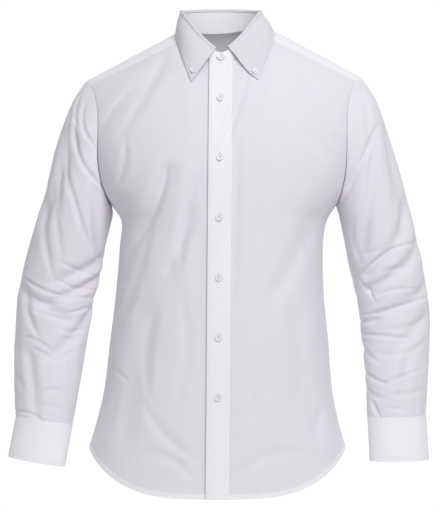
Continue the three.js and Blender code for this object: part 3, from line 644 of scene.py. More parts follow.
def normals_of(points, closed=False):
    """Outward normals of a grid: rows from below up, columns counterclockwise from above."""
    if closed:
        across = np.roll(points, -1, axis=1) - np.roll(points, 1, axis=1)
    else:
        across = np.gradient(points, axis=1)
    return unit(np.cross(across, np.gradient(points, axis=0)))


def lengths_of(points):
    """Distances along the rows and the columns of a grid, from its first column and first row."""
    across = np.linalg.norm(np.diff(points, axis=1), axis=-1)
    up = np.linalg.norm(np.diff(points, axis=0), axis=-1)
    u = np.concatenate([np.zeros((len(points), 1)), np.cumsum(across, axis=1)], axis=1)
    v = np.concatenate([np.zeros((1, points.shape[1])), np.cumsum(up, axis=0)], axis=0)
    return u, v


def wrapped(points, closed):
    """A grid with its first column again at the end, if it runs all the way round."""
    return np.concatenate([points, points[:, :1]], axis=1) if closed else points


def edge_distance(points, edges):
    """How far each place of a grid is from the nearest of the edges named, in millimetres."""
    u, v = lengths_of(points)
    reach = {"start": u, "end": u[:, -1:] - u, "bottom": v, "top": v[-1:] - v}
    return np.minimum.reduce([reach[name] for name in edges])


def pinch(points, edges, closed=False, deep=SEAM_DEEP):
    """Draws a sheet in along its seams, with the small puckers that sewing leaves."""
    u, v = lengths_of(points)
    distance = edge_distance(points, edges)
    wave = np.sin(u / 2.3 + np.sin(v / 9) * 1.3) * np.sin(v / 2.1 + np.sin(u / 11) * 1.7)
    depth = deep * np.exp(-((distance / 2.2) ** 2)) - SEAM_PUCKER * wave * np.exp(-distance / 9)
    return points - normals_of(points, closed) * depth[..., None]


def hemmed(points):
    """Lifts the lower edge of a sheet where its hem is turned up twice."""
    u, v = lengths_of(points)
    pucker = np.sin(u / 3.1 + np.sin(u / 17) * 2) * np.exp(-(((v - HEM_WIDE) / 4) ** 2))
    lift = HEM_LIFT * hem_doubling(points) + HEM_PUCKER * pucker
    return points + normals_of(points) * lift[..., None]


def hem_doubling(points):
    """Where the cloth lies double along a hem: 1 there and 0 elsewhere."""
    return 1 - smooth(HEM_WIDE - 0.6, HEM_WIDE + 0.9, edge_distance(points, ("bottom",)))


def inset_line(points, edge, distance, clear=0.0):
    """Places and normals along an edge of a grid, at a distance in from it and clear of its ends."""
    u, v = lengths_of(points)
    normals = normals_of(points)
    both = np.concatenate([points, normals], axis=-1)
    if edge in ("bottom", "top"):
        both, reach, other = both.transpose(1, 0, 2), v.T, u.T
    else:
        reach, other = u, v
    if edge in ("top", "end"):
        reach = reach[:, -1:] - reach[:, ::-1]
        both, other = both[:, ::-1], other[:, ::-1]
    line = []
    for across, lengths, along_edge in zip(both, reach, other):
        spot = [np.interp(distance, lengths, across[:, n]) for n in range(6)]
        line.append((np.interp(distance, lengths, along_edge), *spot))
    line = np.array(line)
    end = line[:, 0].max()
    line = line[(line[:, 0] >= clear) & (line[:, 0] <= end - clear)]
    return line[:, 1:4], unit(line[:, 4:7])


def add_object(name, data):
    """Puts a mesh, camera or lamp in the scene, and returns its object."""
    added = bpy.data.objects.new(name, data)
    bpy.context.scene.collection.objects.link(added)
    return added


def select_only(piece):
    """Selects one object and makes it the active one."""
    bpy.ops.object.select_all(action="DESELECT")
    bpy.context.view_layer.objects.active = piece
    piece.select_set(True)


def add_stitches(name, lines):
    """Adds one mesh of single stitches, half sunk, along lines of places and normals.

    A stitch is a four-sided spindle, whose ends go under the cloth and whose middle lies on it.
    """
    verts, faces = [], []
    for places, normals in lines:
        run = np.concatenate([[0], np.cumsum(np.linalg.norm(np.diff(places, axis=0), axis=1))])
        count = int(run[-1] / STITCH_STEP)
        for k in range(count):
            ends = np.array([k + 0.08, k + 0.92]) * run[-1] / count
            a, b = (np.array([np.interp(e, run, places[:, n]) for n in range(3)]) for e in ends)
            out = unit(np.array([np.interp(ends.mean(), run, normals[:, n]) for n in range(3)]))
            way = unit(b - a)
            beside = np.cross(way, out)
            first = len(verts)
            verts.append(a - out * STITCH_RADIUS * 0.6)
            for share in (0.25, 0.75):
                middle = mix(a, b, share) + out * STITCH_RADIUS * 0.35
                for turn in (beside, out, -beside, -out):
                    verts.append(middle + turn * STITCH_RADIUS)
            verts.append(b - out * STITCH_RADIUS * 0.6)
            for n in range(4):
                after = (n + 1) % 4
                near, far = first + 1, first + 5
                faces.append((first, near + after, near + n))
                faces.append((near + n, near + after, far + after, far + n))
                faces.append((far + n, far + after, first + 9))
    mesh = bpy.data.meshes.new(name)
    mesh.from_pydata((np.array(verts) * MM).tolist(), [], faces)
    mesh.update()
    mesh.materials.append(finish_named("spun polyester thread"))
    mesh.polygons.foreach_set("use_smooth", [True] * len(mesh.polygons))
    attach(add_object(name, mesh), "root")


def make_mesh(name, points, closed=False):
    """A mesh with one quad for each cell of a grid, in metres, with a UV map in metres of cloth."""
    rows, columns = points.shape[:2]
    mesh = bpy.data.meshes.new(name)
    index = np.arange(rows * columns).reshape(rows, columns)
    if closed:
        index = np.concatenate([index, index[:, :1]], axis=1)
    low_left = index[:-1, :-1]
    faces = np.stack([low_left, index[:-1, 1:], index[1:, 1:], index[1:, :-1]], axis=-1)
    faces = faces.reshape(-1, 4)
    mesh.from_pydata((points.reshape(-1, 3) * MM).tolist(), [], faces.tolist())
    u, v = lengths_of(wrapped(points, closed))
    wide = u.shape[1]
    cell_rows, cell_columns = np.divmod(np.arange(len(faces)), wide - 1)
    corners = ((0, 0), (0, 1), (1, 1), (1, 0))
    middle_u = u[len(u) // 2]
    middle_v = v[:, wide // 2]
    uv = np.stack(
        [
            np.stack([middle_u[cell_columns + right], middle_v[cell_rows + above]], axis=-1)
            for above, right in corners
        ],
        axis=1,
    )
    layer = mesh.uv_layers.new(name="Cut")
    layer.data.foreach_set("uv", (uv.reshape(-1) * MM).astype(np.float32))
    mesh.update()
    return mesh


def add_sheet(node, points, fused=False, closed=False, doubled=None):
    """Adds the cloth of a node, as a thin shell inwards from a grid of points.

    Doubled says where the cloth lies double.
    """
    sizes = bpy.context.scene.shirt_settings
    mesh = make_mesh(f"{node}_cloth", points, closed)
    if doubled is not None:
        # Where the cloth lies double, its finish paints it lighter: partly for the second layer, partly as
        # a painted highlight
        layer = mesh.attributes.new("Doubled", "FLOAT", "POINT")
        layer.data.foreach_set("value", doubled.reshape(-1).astype(np.float32))
    piece = add_object(f"{node}_cloth", mesh)
    select_only(piece)
    shell = piece.modifiers.new("Thickness", "SOLIDIFY")
    shell.thickness = sizes.fused if fused else sizes.cloth
    shell.offset = -1
    shell.use_even_offset = False
    bpy.ops.object.modifier_apply(modifier=shell.name)
    bpy.ops.object.shade_smooth_by_angle(angle=math.radians(50))
    piece.data.materials.append(finish_named("fused cotton poplin" if fused else "cotton poplin"))
    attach(piece, "root")
    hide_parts(node)


# Cut pieces, each as a grid of places


def front_places(hand, columns, rows):
    """x and z over a front: column and row counts are those of its solid, with any fractions."""
    lap = UNDER_EDGE if hand < 0 else BAND_HALF
    rest = NECK_COLUMNS + SHOULDER_COLUMNS
    j, i = np.meshgrid(columns, rows)

    def neck_z(x):
        return neckline_point(neck_angle(x))[..., 2]

    def spread(u):
        """Puts columns closer together towards the side."""
        return np.sin(math.radians(90) * u) * 0.6 + u * 0.4

    def top_edge(u):
        k = np.asarray(u) * rest
        neck_from = neck_angle(BAND_HALF)
        neck = neckline_over(mix(neck_from, NECK_YOKE_AT, np.minimum(k / NECK_COLUMNS, 1)) * hand)
        start = neckline_over(NECK_YOKE_AT * hand)
        end = armhole_over(hand, FRONT_YOKE_AT)
        t = np.maximum(k - NECK_COLUMNS, 0) / SHOULDER_COLUMNS
        x = np.where(k <= NECK_COLUMNS, neck[0], mix(start[0], end[0], t))
        over = np.where(k <= NECK_COLUMNS, neck[1], mix(start[1], end[1], t))
        return x, over_shoulder(x, over)[..., 2]

    upper = patch(
        lambda u: (hand * mix(BAND_HALF, half_width(hand, UNDERARM), spread(u)), UNDERARM),
        top_edge,
        lambda v: (hand * BAND_HALF, mix(UNDERARM, neck_z(hand * BAND_HALF), v)),
        lambda v: armhole(hand, mix(180, FRONT_YOKE_AT, v)),
    )
    high = np.clip((i - LOW_ROWS) / FRONT_ARM_ROWS, 0, 1)
    low = np.clip(i / LOW_ROWS, 0, 1)

    band_x = hand * mix(-lap, BAND_HALF, np.clip(j / 2, 0, 1))
    band_share = np.abs(band_x) / half_width(band_x, FRONT_HEM)
    band_hem = mix(FRONT_HEM, SIDE_HEM, band_share**HEM_POWER)
    band_z = np.where(
        i <= LOW_ROWS, mix(band_hem, UNDERARM, low), mix(UNDERARM, neck_z(band_x), high)
    )

    u = np.clip((j - 2) / rest, 0, 1)
    share = mix(BAND_HALF / half_width(hand, FRONT_HEM), 1, spread(u))
    low_z = mix(mix(FRONT_HEM, SIDE_HEM, share**HEM_POWER), UNDERARM, low)
    low_x = hand * mix(BAND_HALF, half_width(hand, low_z), spread(u))
    high_x, high_z = upper(u, high)
    rest_x = np.where(i > LOW_ROWS, high_x, low_x)
    rest_z = np.where(i > LOW_ROWS, high_z, low_z)
    return np.where(j < 2, band_x, rest_x), np.where(j < 2, band_z, rest_z)


def front_points(hand, columns, rows):
    x, z = front_places(hand, columns, rows)
    points = body_point(x, z, -1)
    if hand < 0:
        points[..., 1] += UNDER_DROP * smooth(-BAND_HALF - UNDER_BLEND, -BAND_HALF, x)
        points = points[:, ::-1]
    return points


def back_seam_over(u):
    left_x, left_z = armhole(1, BACK_YOKE_AT)
    right_x, right_z = armhole(-1, BACK_YOKE_AT)
    x = mix(left_x, right_x, u)
    z = mix(BACK_YOKE, mix(left_z, right_z, u), (2 * u - 1) ** 2)
    return x, over_of(x, z, 1)


def yoke_edge(u):
    k = np.asarray(u) * YOKE_COLUMNS
    left = armhole_over(1, mix(FRONT_YOKE_AT, BACK_YOKE_AT, np.clip(k / YOKE_ARM_COLUMNS, 0, 1)))
    right_share = np.clip((YOKE_COLUMNS - k) / YOKE_ARM_COLUMNS, 0, 1)
    right = armhole_over(-1, mix(FRONT_YOKE_AT, BACK_YOKE_AT, right_share))
    seam = back_seam_over(np.clip((k - YOKE_ARM_COLUMNS) / BACK_COLUMNS, 0, 1))
    picks = [k < YOKE_ARM_COLUMNS, k > YOKE_ARM_COLUMNS + BACK_COLUMNS]
    return tuple(np.select(picks, [left[n], right[n]], seam[n]) for n in (0, 1))


def yoke_points(columns, rows):
    def front_seam(hand):
        start = armhole_over(hand, FRONT_YOKE_AT)
        end = neckline_over(NECK_YOKE_AT * hand)
        return lambda v: (mix(start[0], end[0], v), mix(start[1], end[1], v))

    at = patch(
        yoke_edge,
        lambda u: neckline_over(mix(NECK_YOKE_AT, 360 - NECK_YOKE_AT, np.asarray(u))),
        front_seam(1),
        front_seam(-1),
    )
    u, v = np.meshgrid(np.linspace(0, 1, columns + 1), np.linspace(0, 1, rows + 1))
    return over_shoulder(*at(u, v))


def back_points(columns, rows):
    def across(u, z):
        """x of a column, closer together towards the sides."""
        turn = np.cos(math.radians(180) * u) * 0.5 + (1 - 2 * u) * 0.5
        return turn * half_width(turn, z)

    upper = patch(
        lambda u: (across(np.asarray(u), UNDERARM), UNDERARM),
        lambda u: (back_seam_over(u)[0], over_shoulder(*back_seam_over(u))[..., 2]),
        lambda v: armhole(1, mix(-180, BACK_YOKE_AT, v)),
        lambda v: armhole(-1, mix(-180, BACK_YOKE_AT, v)),
    )
    u, i = np.meshgrid(np.linspace(0, 1, columns + 1), rows)
    low = np.clip(i / LOW_ROWS, 0, 1)
    high = np.clip((i - LOW_ROWS) / BACK_ARM_ROWS, 0, 1)
    hem_x = across(u, BACK_HEM)
    share = np.abs(hem_x) / half_width(hem_x, BACK_HEM)
    low_z = mix(mix(BACK_HEM, SIDE_HEM, share**HEM_POWER), UNDERARM, low)
    low_x = across(u, low_z)
    high_x, high_z = upper(u, high)
    x = np.where(i > LOW_ROWS, high_x, low_x)
    z = np.where(i > LOW_ROWS, high_z, low_z)
    return body_point(x, z, 1)


def ring_point(station, hand, angle):
    out_x, out_z, in_x, in_z, mid_y, deep = station
    c = cos_of(angle)
    x = hand * mix(in_x, out_x, (1 + c) / 2)
    return point(x, mid_y - deep * sin_of(angle), mix(in_z, out_z, (1 + c) / 2))


def sleeve_points(hand, stations, angles, closed=False):
    """Places of a sleeve with its folds: station -1 is the armhole, and 8 the cuff seam."""
    column = np.stack(
        [armhole_point(hand, angles)] + [ring_point(row, hand, angles) for row in SLEEVES[hand]]
    )
    points = along(column, (stations + 1) / len(SLEEVES[hand]))
    b, a = np.meshgrid(angles, stations * STATION_STEP)
    depth = np.zeros(a.shape)
    for fold in SLEEVE_FOLDS[hand] + SLEEVE_CREASES[hand]:
        from_a, from_b, to_a, to_b, wide, deep, bow = fold
        middle = (from_b + to_b) / 2
        turned = b - 360 * np.round((b - middle) / 360)
        laid = (from_a * STATION_STEP, from_b, to_a * STATION_STEP, to_b, wide, deep, bow)
        depth += fold_depth((laid,), a, turned)
    # Folds fade towards both seams, and the seen side's creases towards the hidden side
    depth *= (smooth(-1, 0.4, stations) * (1 - 0.75 * smooth(7.4, 8, stations)))[:, None]
    normals = normals_of(points, closed)
    seen = smooth(-0.4, 0.05, -normals[..., 1]) * smooth(-1, -0.6, stations)[:, None]
    x, z = points[..., 0], points[..., 2]
    depth += seen * fold_depth(SLEEVE_FRONT_CREASES[hand], x, z, CREASE_ENDS)
    return points - normals * depth[..., None]


def fold_point(angle):
    s = np.abs(sin_of(angle))
    c = cos_of(angle)
    rise = np.abs(c) ** FOLD_BACK_POWER
    z = np.where(c > 0, mix(FOLD_FRONT, FOLD_SIDE, s**FOLD_POWER), mix(FOLD_SIDE, FOLD_BACK, rise))
    depth = np.where(c > 0, STAND_FRONT_DEPTH, STAND_BACK_DEPTH)
    return point(STAND_X * sin_of(angle), SIDE_Y - depth * c, z)


def fold_frame(angle):
    """The directions out from the neck and up at the leaf's fold."""
    way = unit(fold_point(angle + 1) - fold_point(angle - 1))
    out = unit(np.cross(way, np.array([0.0, 0.0, 1.0])))
    return out, np.cross(out, way)


def stand_points(angles, rows):
    low = neckline_point(angles)
    low[..., 2] += np.where(angles > 340, 1.0, SEAM_GAP)
    high = fold_point(angles) - fold_frame(angles)[1] * STAND_BELOW_FOLD
    v = np.linspace(0, 1, rows + 1)[:, None, None]
    points = low[None] * (1 - v) + high[None] * v
    drop = LAP_DROP * smooth(290, 343, angles)
    return points + normals_of(points) * drop[None, :, None]


def leaf_points(u, t):
    """Places of the leaf: u runs round the neck from the wearer's left, t from edge to stand."""
    angle = mix(LEAF_FROM, LEAF_TO, u)
    fold = fold_point(angle)
    out, up = fold_frame(angle)
    roll = [fold + out * r_out + up * r_up for r_out, r_up in LEAF_ROLL]
    edge = along(np.array(LEAF_EDGE, float), u)
    x, over = edge[:, 0], edge[:, 1]
    foot = over_shoulder(x, over)
    ahead = over_shoulder(x, over + 0.02) - over_shoulder(x, over - 0.02)
    beside = over_shoulder(x + 1, over) - over_shoulder(x - 1, over)
    lift = unit(np.cross(beside, ahead))
    # The foot sinks at the points. The leaf bulges beside them, and bows in its left front edge
    front = np.minimum(u, 1 - u)[:, None]
    foot = foot + lift * mix(LEAF_POINT_LIFT, LEAF_LIFT, smooth(0, 0.12, front))
    swell = LEAF_SWELL * np.exp(-(((front - 0.1) / 0.07) ** 2)) + 1.0
    outward = unit(lift + out)
    bow = np.array([-LEAF_BOW, 0, 0]) * np.exp(-((u[:, None] / 0.05) ** 2))
    fall = [
        mix(foot, roll[0], k) + outward * swell * math.sin(math.pi * k) + bow * share
        for k, share in ((0.25, 1.0), (0.5, 0.8), (0.75, 0.3))
    ]
    return along(np.stack([foot, *fall, *roll]), t)


def cuff_points(hand, turns, rows):
    angle = CUFF_OPENS - hand * turns
    low = ring_point(CUFF_ENDS[hand], hand, angle)
    high = ring_point(SLEEVES[hand][-1], hand, angle)
    v = np.linspace(0, 1, rows + 1)[:, None, None]
    points = low[None] * (1 - v) + high[None] * v
    layer = LAP_DROP * (1 - smooth(CUFF_LAP + 15, 180, turns)) + CUFF_PROUD
    return points + normals_of(points) * layer[None, :, None]


# Finishes


def linear(colour):
    """A linear colour from an sRGB hex value such as #e4e2e8."""
    result = []
    for k in (1, 3, 5):
        value = int(colour[k : k + 2], 16) / 255
        result.append(value / 12.92 if value <= 0.04045 else ((value + 0.055) / 1.055) ** 2.4)
    return (*result, 1.0)


def add_node(tree, kind, settings=None, sockets=None):
    """Adds a shader node and returns its outputs; a socket takes a value, or an output to link to it."""
    node = tree.nodes.new(kind)
    for name, value in (settings or {}).items():
        setattr(node, name, value)
    for name, value in (sockets or {}).items():
        if isinstance(value, bpy.types.NodeSocket):
            tree.links.new(value, node.inputs[name])
        else:
            node.inputs[name].default_value = value
    return node.outputs


def new_finish(name):
    """A new material and its tree, still empty."""
    material = bpy.data.materials.new(name)
    material.use_nodes = True
    material.node_tree.nodes.clear()
    return material, material.node_tree


def poplin(name, colour, doubled_highlight_colour, roughness, sheen, slub):
    """Cotton poplin, plain woven from fine combed yarn: matt, with faint slubs along the warp."""
    material, tree = new_finish(name)
    cut = add_node(tree, "ShaderNodeTexCoord")["UV"]
    place = add_node(tree, "ShaderNodeTexCoord")["Object"]
    # A band texture of scale s has a band every 0.1 * pi / s
    bands = {"Scale": 0.1 * math.pi / (THREAD_GAP * MM), "Distortion": 1.2, "Detail": 1.0}
    bands["Vector"] = cut
    warp = add_node(tree, "ShaderNodeTexWave", {"bands_direction": "X"}, bands)["Fac"]
    weft = add_node(tree, "ShaderNodeTexWave", {"bands_direction": "Y"}, bands)["Fac"]
    weave = add_node(tree, "ShaderNodeMath", {"operation": "MULTIPLY"}, {0: warp, 1: weft})["Value"]
    # Slubs are thicker stretches of single warp threads
    slub_scale = (1 / (SLUB_WIDE * MM), 1 / (SLUB_LONG * MM), 1.0)
    turned = {"Scale": slub_scale, "Vector": cut}
    stretched = add_node(tree, "ShaderNodeMapping", None, turned)["Vector"]
    grain = {"Scale": 1.0, "Detail": 2.0, "Vector": stretched}
    slubs = add_node(tree, "ShaderNodeTexNoise", None, grain)["Fac"]
    # The cloth is faintly uneven from cloud to cloud
    cloud = {"Scale": 1 / (CLOUD_WIDE * MM), "Detail": 3.0, "Vector": place}
    clouds = add_node(tree, "ShaderNodeTexNoise", None, cloud)["Fac"]
    # It is painted lighter where it lies double: partly for the second layer, partly as a painted
    # highlight on the flat, well lit band, hems and yoke
    layers = add_node(tree, "ShaderNodeAttribute", {"attribute_name": "Doubled"})["Fac"]
    colours = {"A": linear(colour), "B": linear(doubled_highlight_colour), "Factor": layers}
    full = add_node(tree, "ShaderNodeMix", {"data_type": "RGBA"}, colours)["Result"]
    multiply = {"data_type": "RGBA", "blend_type": "MULTIPLY"}
    shade = {"Factor": 1.0, "A": full, "B": (0.93, 0.93, 0.93, 1.0)}
    dull = add_node(tree, "ShaderNodeMix", multiply, shade)["Result"]
    worn = add_node(tree, "ShaderNodeMath", {"operation": "MULTIPLY"}, {0: clouds, 1: 0.5})["Value"]
    sums = {0: slubs, 1: slub, 2: worn}
    mixed = add_node(tree, "ShaderNodeMath", {"operation": "MULTIPLY_ADD"}, sums)["Value"]
    tones = {"Factor": mixed, "A": full, "B": dull}
    tone = add_node(tree, "ShaderNodeMix", {"data_type": "RGBA"}, tones)["Result"]
    soft = {"Strength": 0.35, "Distance": 0.0012, "Height": clouds}
    relief = add_node(tree, "ShaderNodeBump", None, soft)["Normal"]
    fine = {"Strength": 0.18, "Distance": 0.0002, "Height": weave, "Normal": relief}
    surface = {
        "Base Color": tone,
        "Roughness": roughness,
        "IOR": 1.45,
        "Specular IOR Level": 0.25,
        "Sheen Weight": sheen,
        "Sheen Roughness": 0.45,
        "Normal": add_node(tree, "ShaderNodeBump", None, fine)["Normal"],
    }
    shader = add_node(tree, "ShaderNodeBsdfPrincipled", None, surface)["BSDF"]
    add_node(tree, "ShaderNodeOutputMaterial", None, {"Surface": shader})
    return material


def thread(name, colour):
    """Spun polyester sewing thread: matt, twisted."""
    material, tree = new_finish(name)
    place = add_node(tree, "ShaderNodeTexCoord")["Object"]
    bands = {"Scale": 0.1 * math.pi / (TWIST_GAP * MM), "Vector": place}
    twist = add_node(tree, "ShaderNodeTexWave", {"bands_direction": "DIAGONAL"}, bands)["Fac"]
    relief = {"Strength": 0.3, "Distance": 0.0001, "Height": twist}
    surface = {
        "Base Color": linear(colour),
        "Roughness": 0.75,
        "Sheen Weight": 0.1,
        "Normal": add_node(tree, "ShaderNodeBump", None, relief)["Normal"],
    }
    shader = add_node(tree, "ShaderNodeBsdfPrincipled", None, surface)["BSDF"]
    add_node(tree, "ShaderNodeOutputMaterial", None, {"Surface": shader})
    return material


def pearl_resin(name, colour):
    """Cast polyester that imitates mother of pearl: glossy, with cloudy layers."""
    material, tree = new_finish(name)
    place = add_node(tree, "ShaderNodeTexCoord")["Object"]
    cloud = {"Scale": 1 / (PEARL_WIDE * MM), "Detail": 2.0, "Distortion": 2.0, "Vector": place}
    layers = add_node(tree, "ShaderNodeTexNoise", None, cloud)["Fac"]
    base = linear(colour)
    deep = (base[0] * 0.82, base[1] * 0.82, base[2] * 0.86, 1.0)
    tones = {"Factor": layers, "A": base, "B": deep}
    surface = {
        "Base Color": add_node(tree, "ShaderNodeMix", {"data_type": "RGBA"}, tones)["Result"],
        "Roughness": 0.22,
        "IOR": 1.56,
        "Coat Weight": 0.4,
        "Coat Roughness": 0.1,
    }
    shader = add_node(tree, "ShaderNodeBsdfPrincipled", None, surface)["BSDF"]
    add_node(tree, "ShaderNodeOutputMaterial", None, {"Surface": shader})
    return material


def painted_board(name, colour):
    """Studio board painted matt white with a roller."""
    material, tree = new_finish(name)
    place = add_node(tree, "ShaderNodeTexCoord")["Object"]
    stipple = {"Scale": 1 / (ROLLER_GRAIN * MM), "Vector": place}
    grain = add_node(tree, "ShaderNodeTexNoise", None, stipple)["Fac"]
    relief = {"Strength": 0.02, "Distance": 0.0005, "Height": grain}
    surface = {
        "Base Color": linear(colour),
        "Roughness": 0.9,
        "Normal": add_node(tree, "ShaderNodeBump", None, relief)["Normal"],
    }
    shader = add_node(tree, "ShaderNodeBsdfPrincipled", None, surface)["BSDF"]
    add_node(tree, "ShaderNodeOutputMaterial", None, {"Surface": shader})
    return material


def finish_named(name):
    """The finish of this name, made at its first use."""
    if name in bpy.data.materials:
        return bpy.data.materials[name]
    sizes = bpy.context.scene.shirt_settings
    if name == "cotton poplin":
        return poplin(name, sizes.cloth_colour, sizes.doubled_highlight_colour, 0.9, 0.12, 0.35)
    if name == "fused cotton poplin":
        # The fused poplin's colour is darker than the plain cloth's as painted shade on the collar leaf
        return poplin(name, sizes.fused_shaded_colour, sizes.doubled_highlight_colour, 0.82, 0.08, 0.2)
    if name == "spun polyester thread":
        return thread(name, sizes.thread_colour)
    if name == "pearl resin":
        return pearl_resin(name, sizes.button_colour)
    return painted_board(name, sizes.floor_colour)


# What a user of the add-on may change


class ShirtSettings(bpy.types.PropertyGroup):
    cloth: bpy.props.FloatProperty(
        name="Cloth", description="Thickness of the poplin", default=0.0006, unit="LENGTH"
    )
    fused: bpy.props.FloatProperty(
        name="Fused cloth",
        description="Thickness of the interlined layers",
        default=0.0014,
        unit="LENGTH",
    )
    button_radius: bpy.props.FloatProperty(
        name="Button radius", description="Radius of a front button", default=0.0056, unit="LENGTH"
    )
    small_button_radius: bpy.props.FloatProperty(
        name="Small button radius",
        description="Radius of a collar or cuff button",
        default=0.0049,
        unit="LENGTH",
    )
    cloth_colour: bpy.props.StringProperty(
        name="Cloth colour", description="sRGB colour of the poplin", default="#e4e1e9"
    )
    # The doubled colour is lighter than the cloth partly for the second layer and partly as a painted
    # highlight
    doubled_highlight_colour: bpy.props.StringProperty(
        name="Doubled colour", description="sRGB colour of the band, hems and yoke", default="#f1eff4"
    )
    # The fused colour shows only on the collar leaf, because the other fused parts take the doubled
    # colour. It is darker than the plain cloth as painted shade, set against the light that the leaf
    # catches as it faces up
    fused_shaded_colour: bpy.props.StringProperty(
        name="Fused colour", description="sRGB colour of the collar and cuffs", default="#dddae2"
    )
    thread_colour: bpy.props.StringProperty(
        name="Thread colour", description="sRGB colour of the sewing thread", default="#e9e7ec"
    )
    button_colour: bpy.props.StringProperty(
        name="Button colour", description="sRGB colour of the buttons", default="#f3f2f4"
    )
    floor_colour: bpy.props.StringProperty(
        name="Floor colour", description="sRGB colour of the floor", default="#f2f2f2"
    )
    wall: bpy.props.FloatProperty(
        name="Wall", description="How bright the wall behind the shirt is", default=1.05
    )
    room: bpy.props.FloatProperty(
        name="Room", description="How bright the room in front of the shirt is", default=0.33
    )


# Operators, one for each piece or group of like pieces


def armhole_line(points, edge, distance):
    """The stitching along the armhole part of a side edge."""
    places, normals = inset_line(points, edge, distance, distance)
    above = places[:, 2] > UNDERARM
    return places[above], normals[above]


def leaf_front_line(points, edge):
    """The stitching along one front edge of the leaf, from near its point up to its fold."""
    places, normals = inset_line(points, edge, TOP_STITCH, TOP_STITCH)
    count = int(len(places) * LEAF_STITCHED)
    return places[:count], normals[:count]


def row_counts(total):
    """Rows of a sheet, closer along the hem, counted in the rows of its solid."""
    hem = np.linspace(0, 0.6, 15)[:-1]
    return np.concatenate([hem, np.linspace(0.6, total, int((total - 0.6) * 7.5) + 1)])


class SHIRT_OT_fronts(bpy.types.Operator):
    """Lays the two fronts and the button band"""

    bl_idname = "shirt.fronts"
    bl_label = "Fronts"

    def execute(self, context):
        rows = row_counts(LOW_ROWS + FRONT_ARM_ROWS)
        columns = np.linspace(0, 2 + NECK_COLUMNS + SHOULDER_COLUMNS, FRONT_GRID)
        for hand, side in HANDS:
            seam = "end" if hand > 0 else "start"
            plain = front_points(hand, columns, rows)
            points = hemmed(pinch(plain, (seam, "top")))
            add_sheet(f"front_{side}", points, doubled=hem_doubling(plain))
            lines = [inset_line(points, "bottom", HEM_STITCH)]
            lines.append(armhole_line(points, seam, FELL_STITCH))
            add_stitches(f"front_stitches_{side}", lines)
        plain = front_points(1, np.linspace(0, 2, BAND_GRID), rows)
        lift = SEAM_GAP + context.scene.shirt_settings.fused / MM
        points = pinch(plain + normals_of(plain) * lift, ("start", "end"))
        add_sheet("placket", points, fused=True, doubled=np.ones(plain.shape[:2]))
        lines = [inset_line(points, edge, TOP_STITCH) for edge in ("start", "end")]
        lines.append(inset_line(points, "bottom", HEM_STITCH))
        add_stitches("placket_stitches", lines)
        return {"FINISHED"}


class SHIRT_OT_back(bpy.types.Operator):
    """Lays the back and the yoke"""

    bl_idname = "shirt.back"
    bl_label = "Back and yoke"

    def execute(self, context):
        plain = back_points(BACK_GRID, row_counts(LOW_ROWS + BACK_ARM_ROWS))
        points = hemmed(pinch(plain, ("start", "end", "top")))
        add_sheet("back", points, doubled=hem_doubling(plain))
        lines = [inset_line(points, "bottom", HEM_STITCH)]
        lines += [inset_line(points, edge, FELL_STITCH, FELL_STITCH) for edge in ("start", "end")]
        add_stitches("back_stitches", lines)
        plain = yoke_points(*YOKE_GRID)
        points = pinch(plain, ("start", "end", "bottom"))
        add_sheet("yoke", points, doubled=np.full(plain.shape[:2], YOKE_DOUBLED_AND_LIT))
        lines = [inset_line(points, edge, YOKE_STITCH) for edge in ("start", "end", "bottom")]
        add_stitches("yoke_stitches", lines)
        return {"FINISHED"}


class SHIRT_OT_sleeves(bpy.types.Operator):
    """Lays the sleeves and their plackets"""

    bl_idname = "shirt.sleeves"
    bl_label = "Sleeves"

    def execute(self, context):
        for hand, side in HANDS:
            halves = [np.linspace(180, 0, SLEEVE_GRID[0])[:-1], np.linspace(0, -180, SLEEVE_GRID[1])[:-1]]
            angles = np.concatenate(halves) * hand
            stations = np.linspace(LAST_STATION, -1, SLEEVE_GRID[2])
            plain = sleeve_points(hand, stations, angles, True)
            points = pinch(plain, ("bottom", "top"), True, SLEEVE_SEAM_DEEP)
            add_sheet(f"sleeve_{side}", points, closed=True)
            angles = CUFF_OPENS - hand * np.linspace(-PLACKET_HALF, PLACKET_HALF, SLEEVE_PLACKET_GRID[0])
            stations = np.linspace(LAST_STATION, LAST_STATION - PLACKET_TOP, SLEEVE_PLACKET_GRID[1])
            plain = sleeve_points(hand, stations, angles)
            lift = 2 * SEAM_GAP + context.scene.shirt_settings.cloth / MM
            points = plain + normals_of(plain) * lift
            add_sheet(f"sleeve_placket_{side}", points)
            lines = [inset_line(points, edge, EDGE_STITCH, 2) for edge in ("start", "end", "top")]
            add_stitches(f"sleeve_placket_stitches_{side}", lines)
        return {"FINISHED"}


class SHIRT_OT_cuffs(bpy.types.Operator):
    """Lays the cuffs"""

    bl_idname = "shirt.cuffs"
    bl_label = "Cuffs"

    def execute(self, context):
        for hand, side in HANDS:
            points = cuff_points(hand, np.linspace(0, 360 + CUFF_LAP, CUFF_GRID[0]), CUFF_GRID[1])
            add_sheet(f"cuff_{side}", points, fused=True, doubled=np.ones(points.shape[:2]))
            lines = [inset_line(points, edge, TOP_STITCH, TOP_STITCH) for edge in ("bottom", "end")]
            lines.append(inset_line(points, "top", EDGE_STITCH, EDGE_STITCH))
            add_stitches(f"cuff_stitches_{side}", lines)
        return {"FINISHED"}


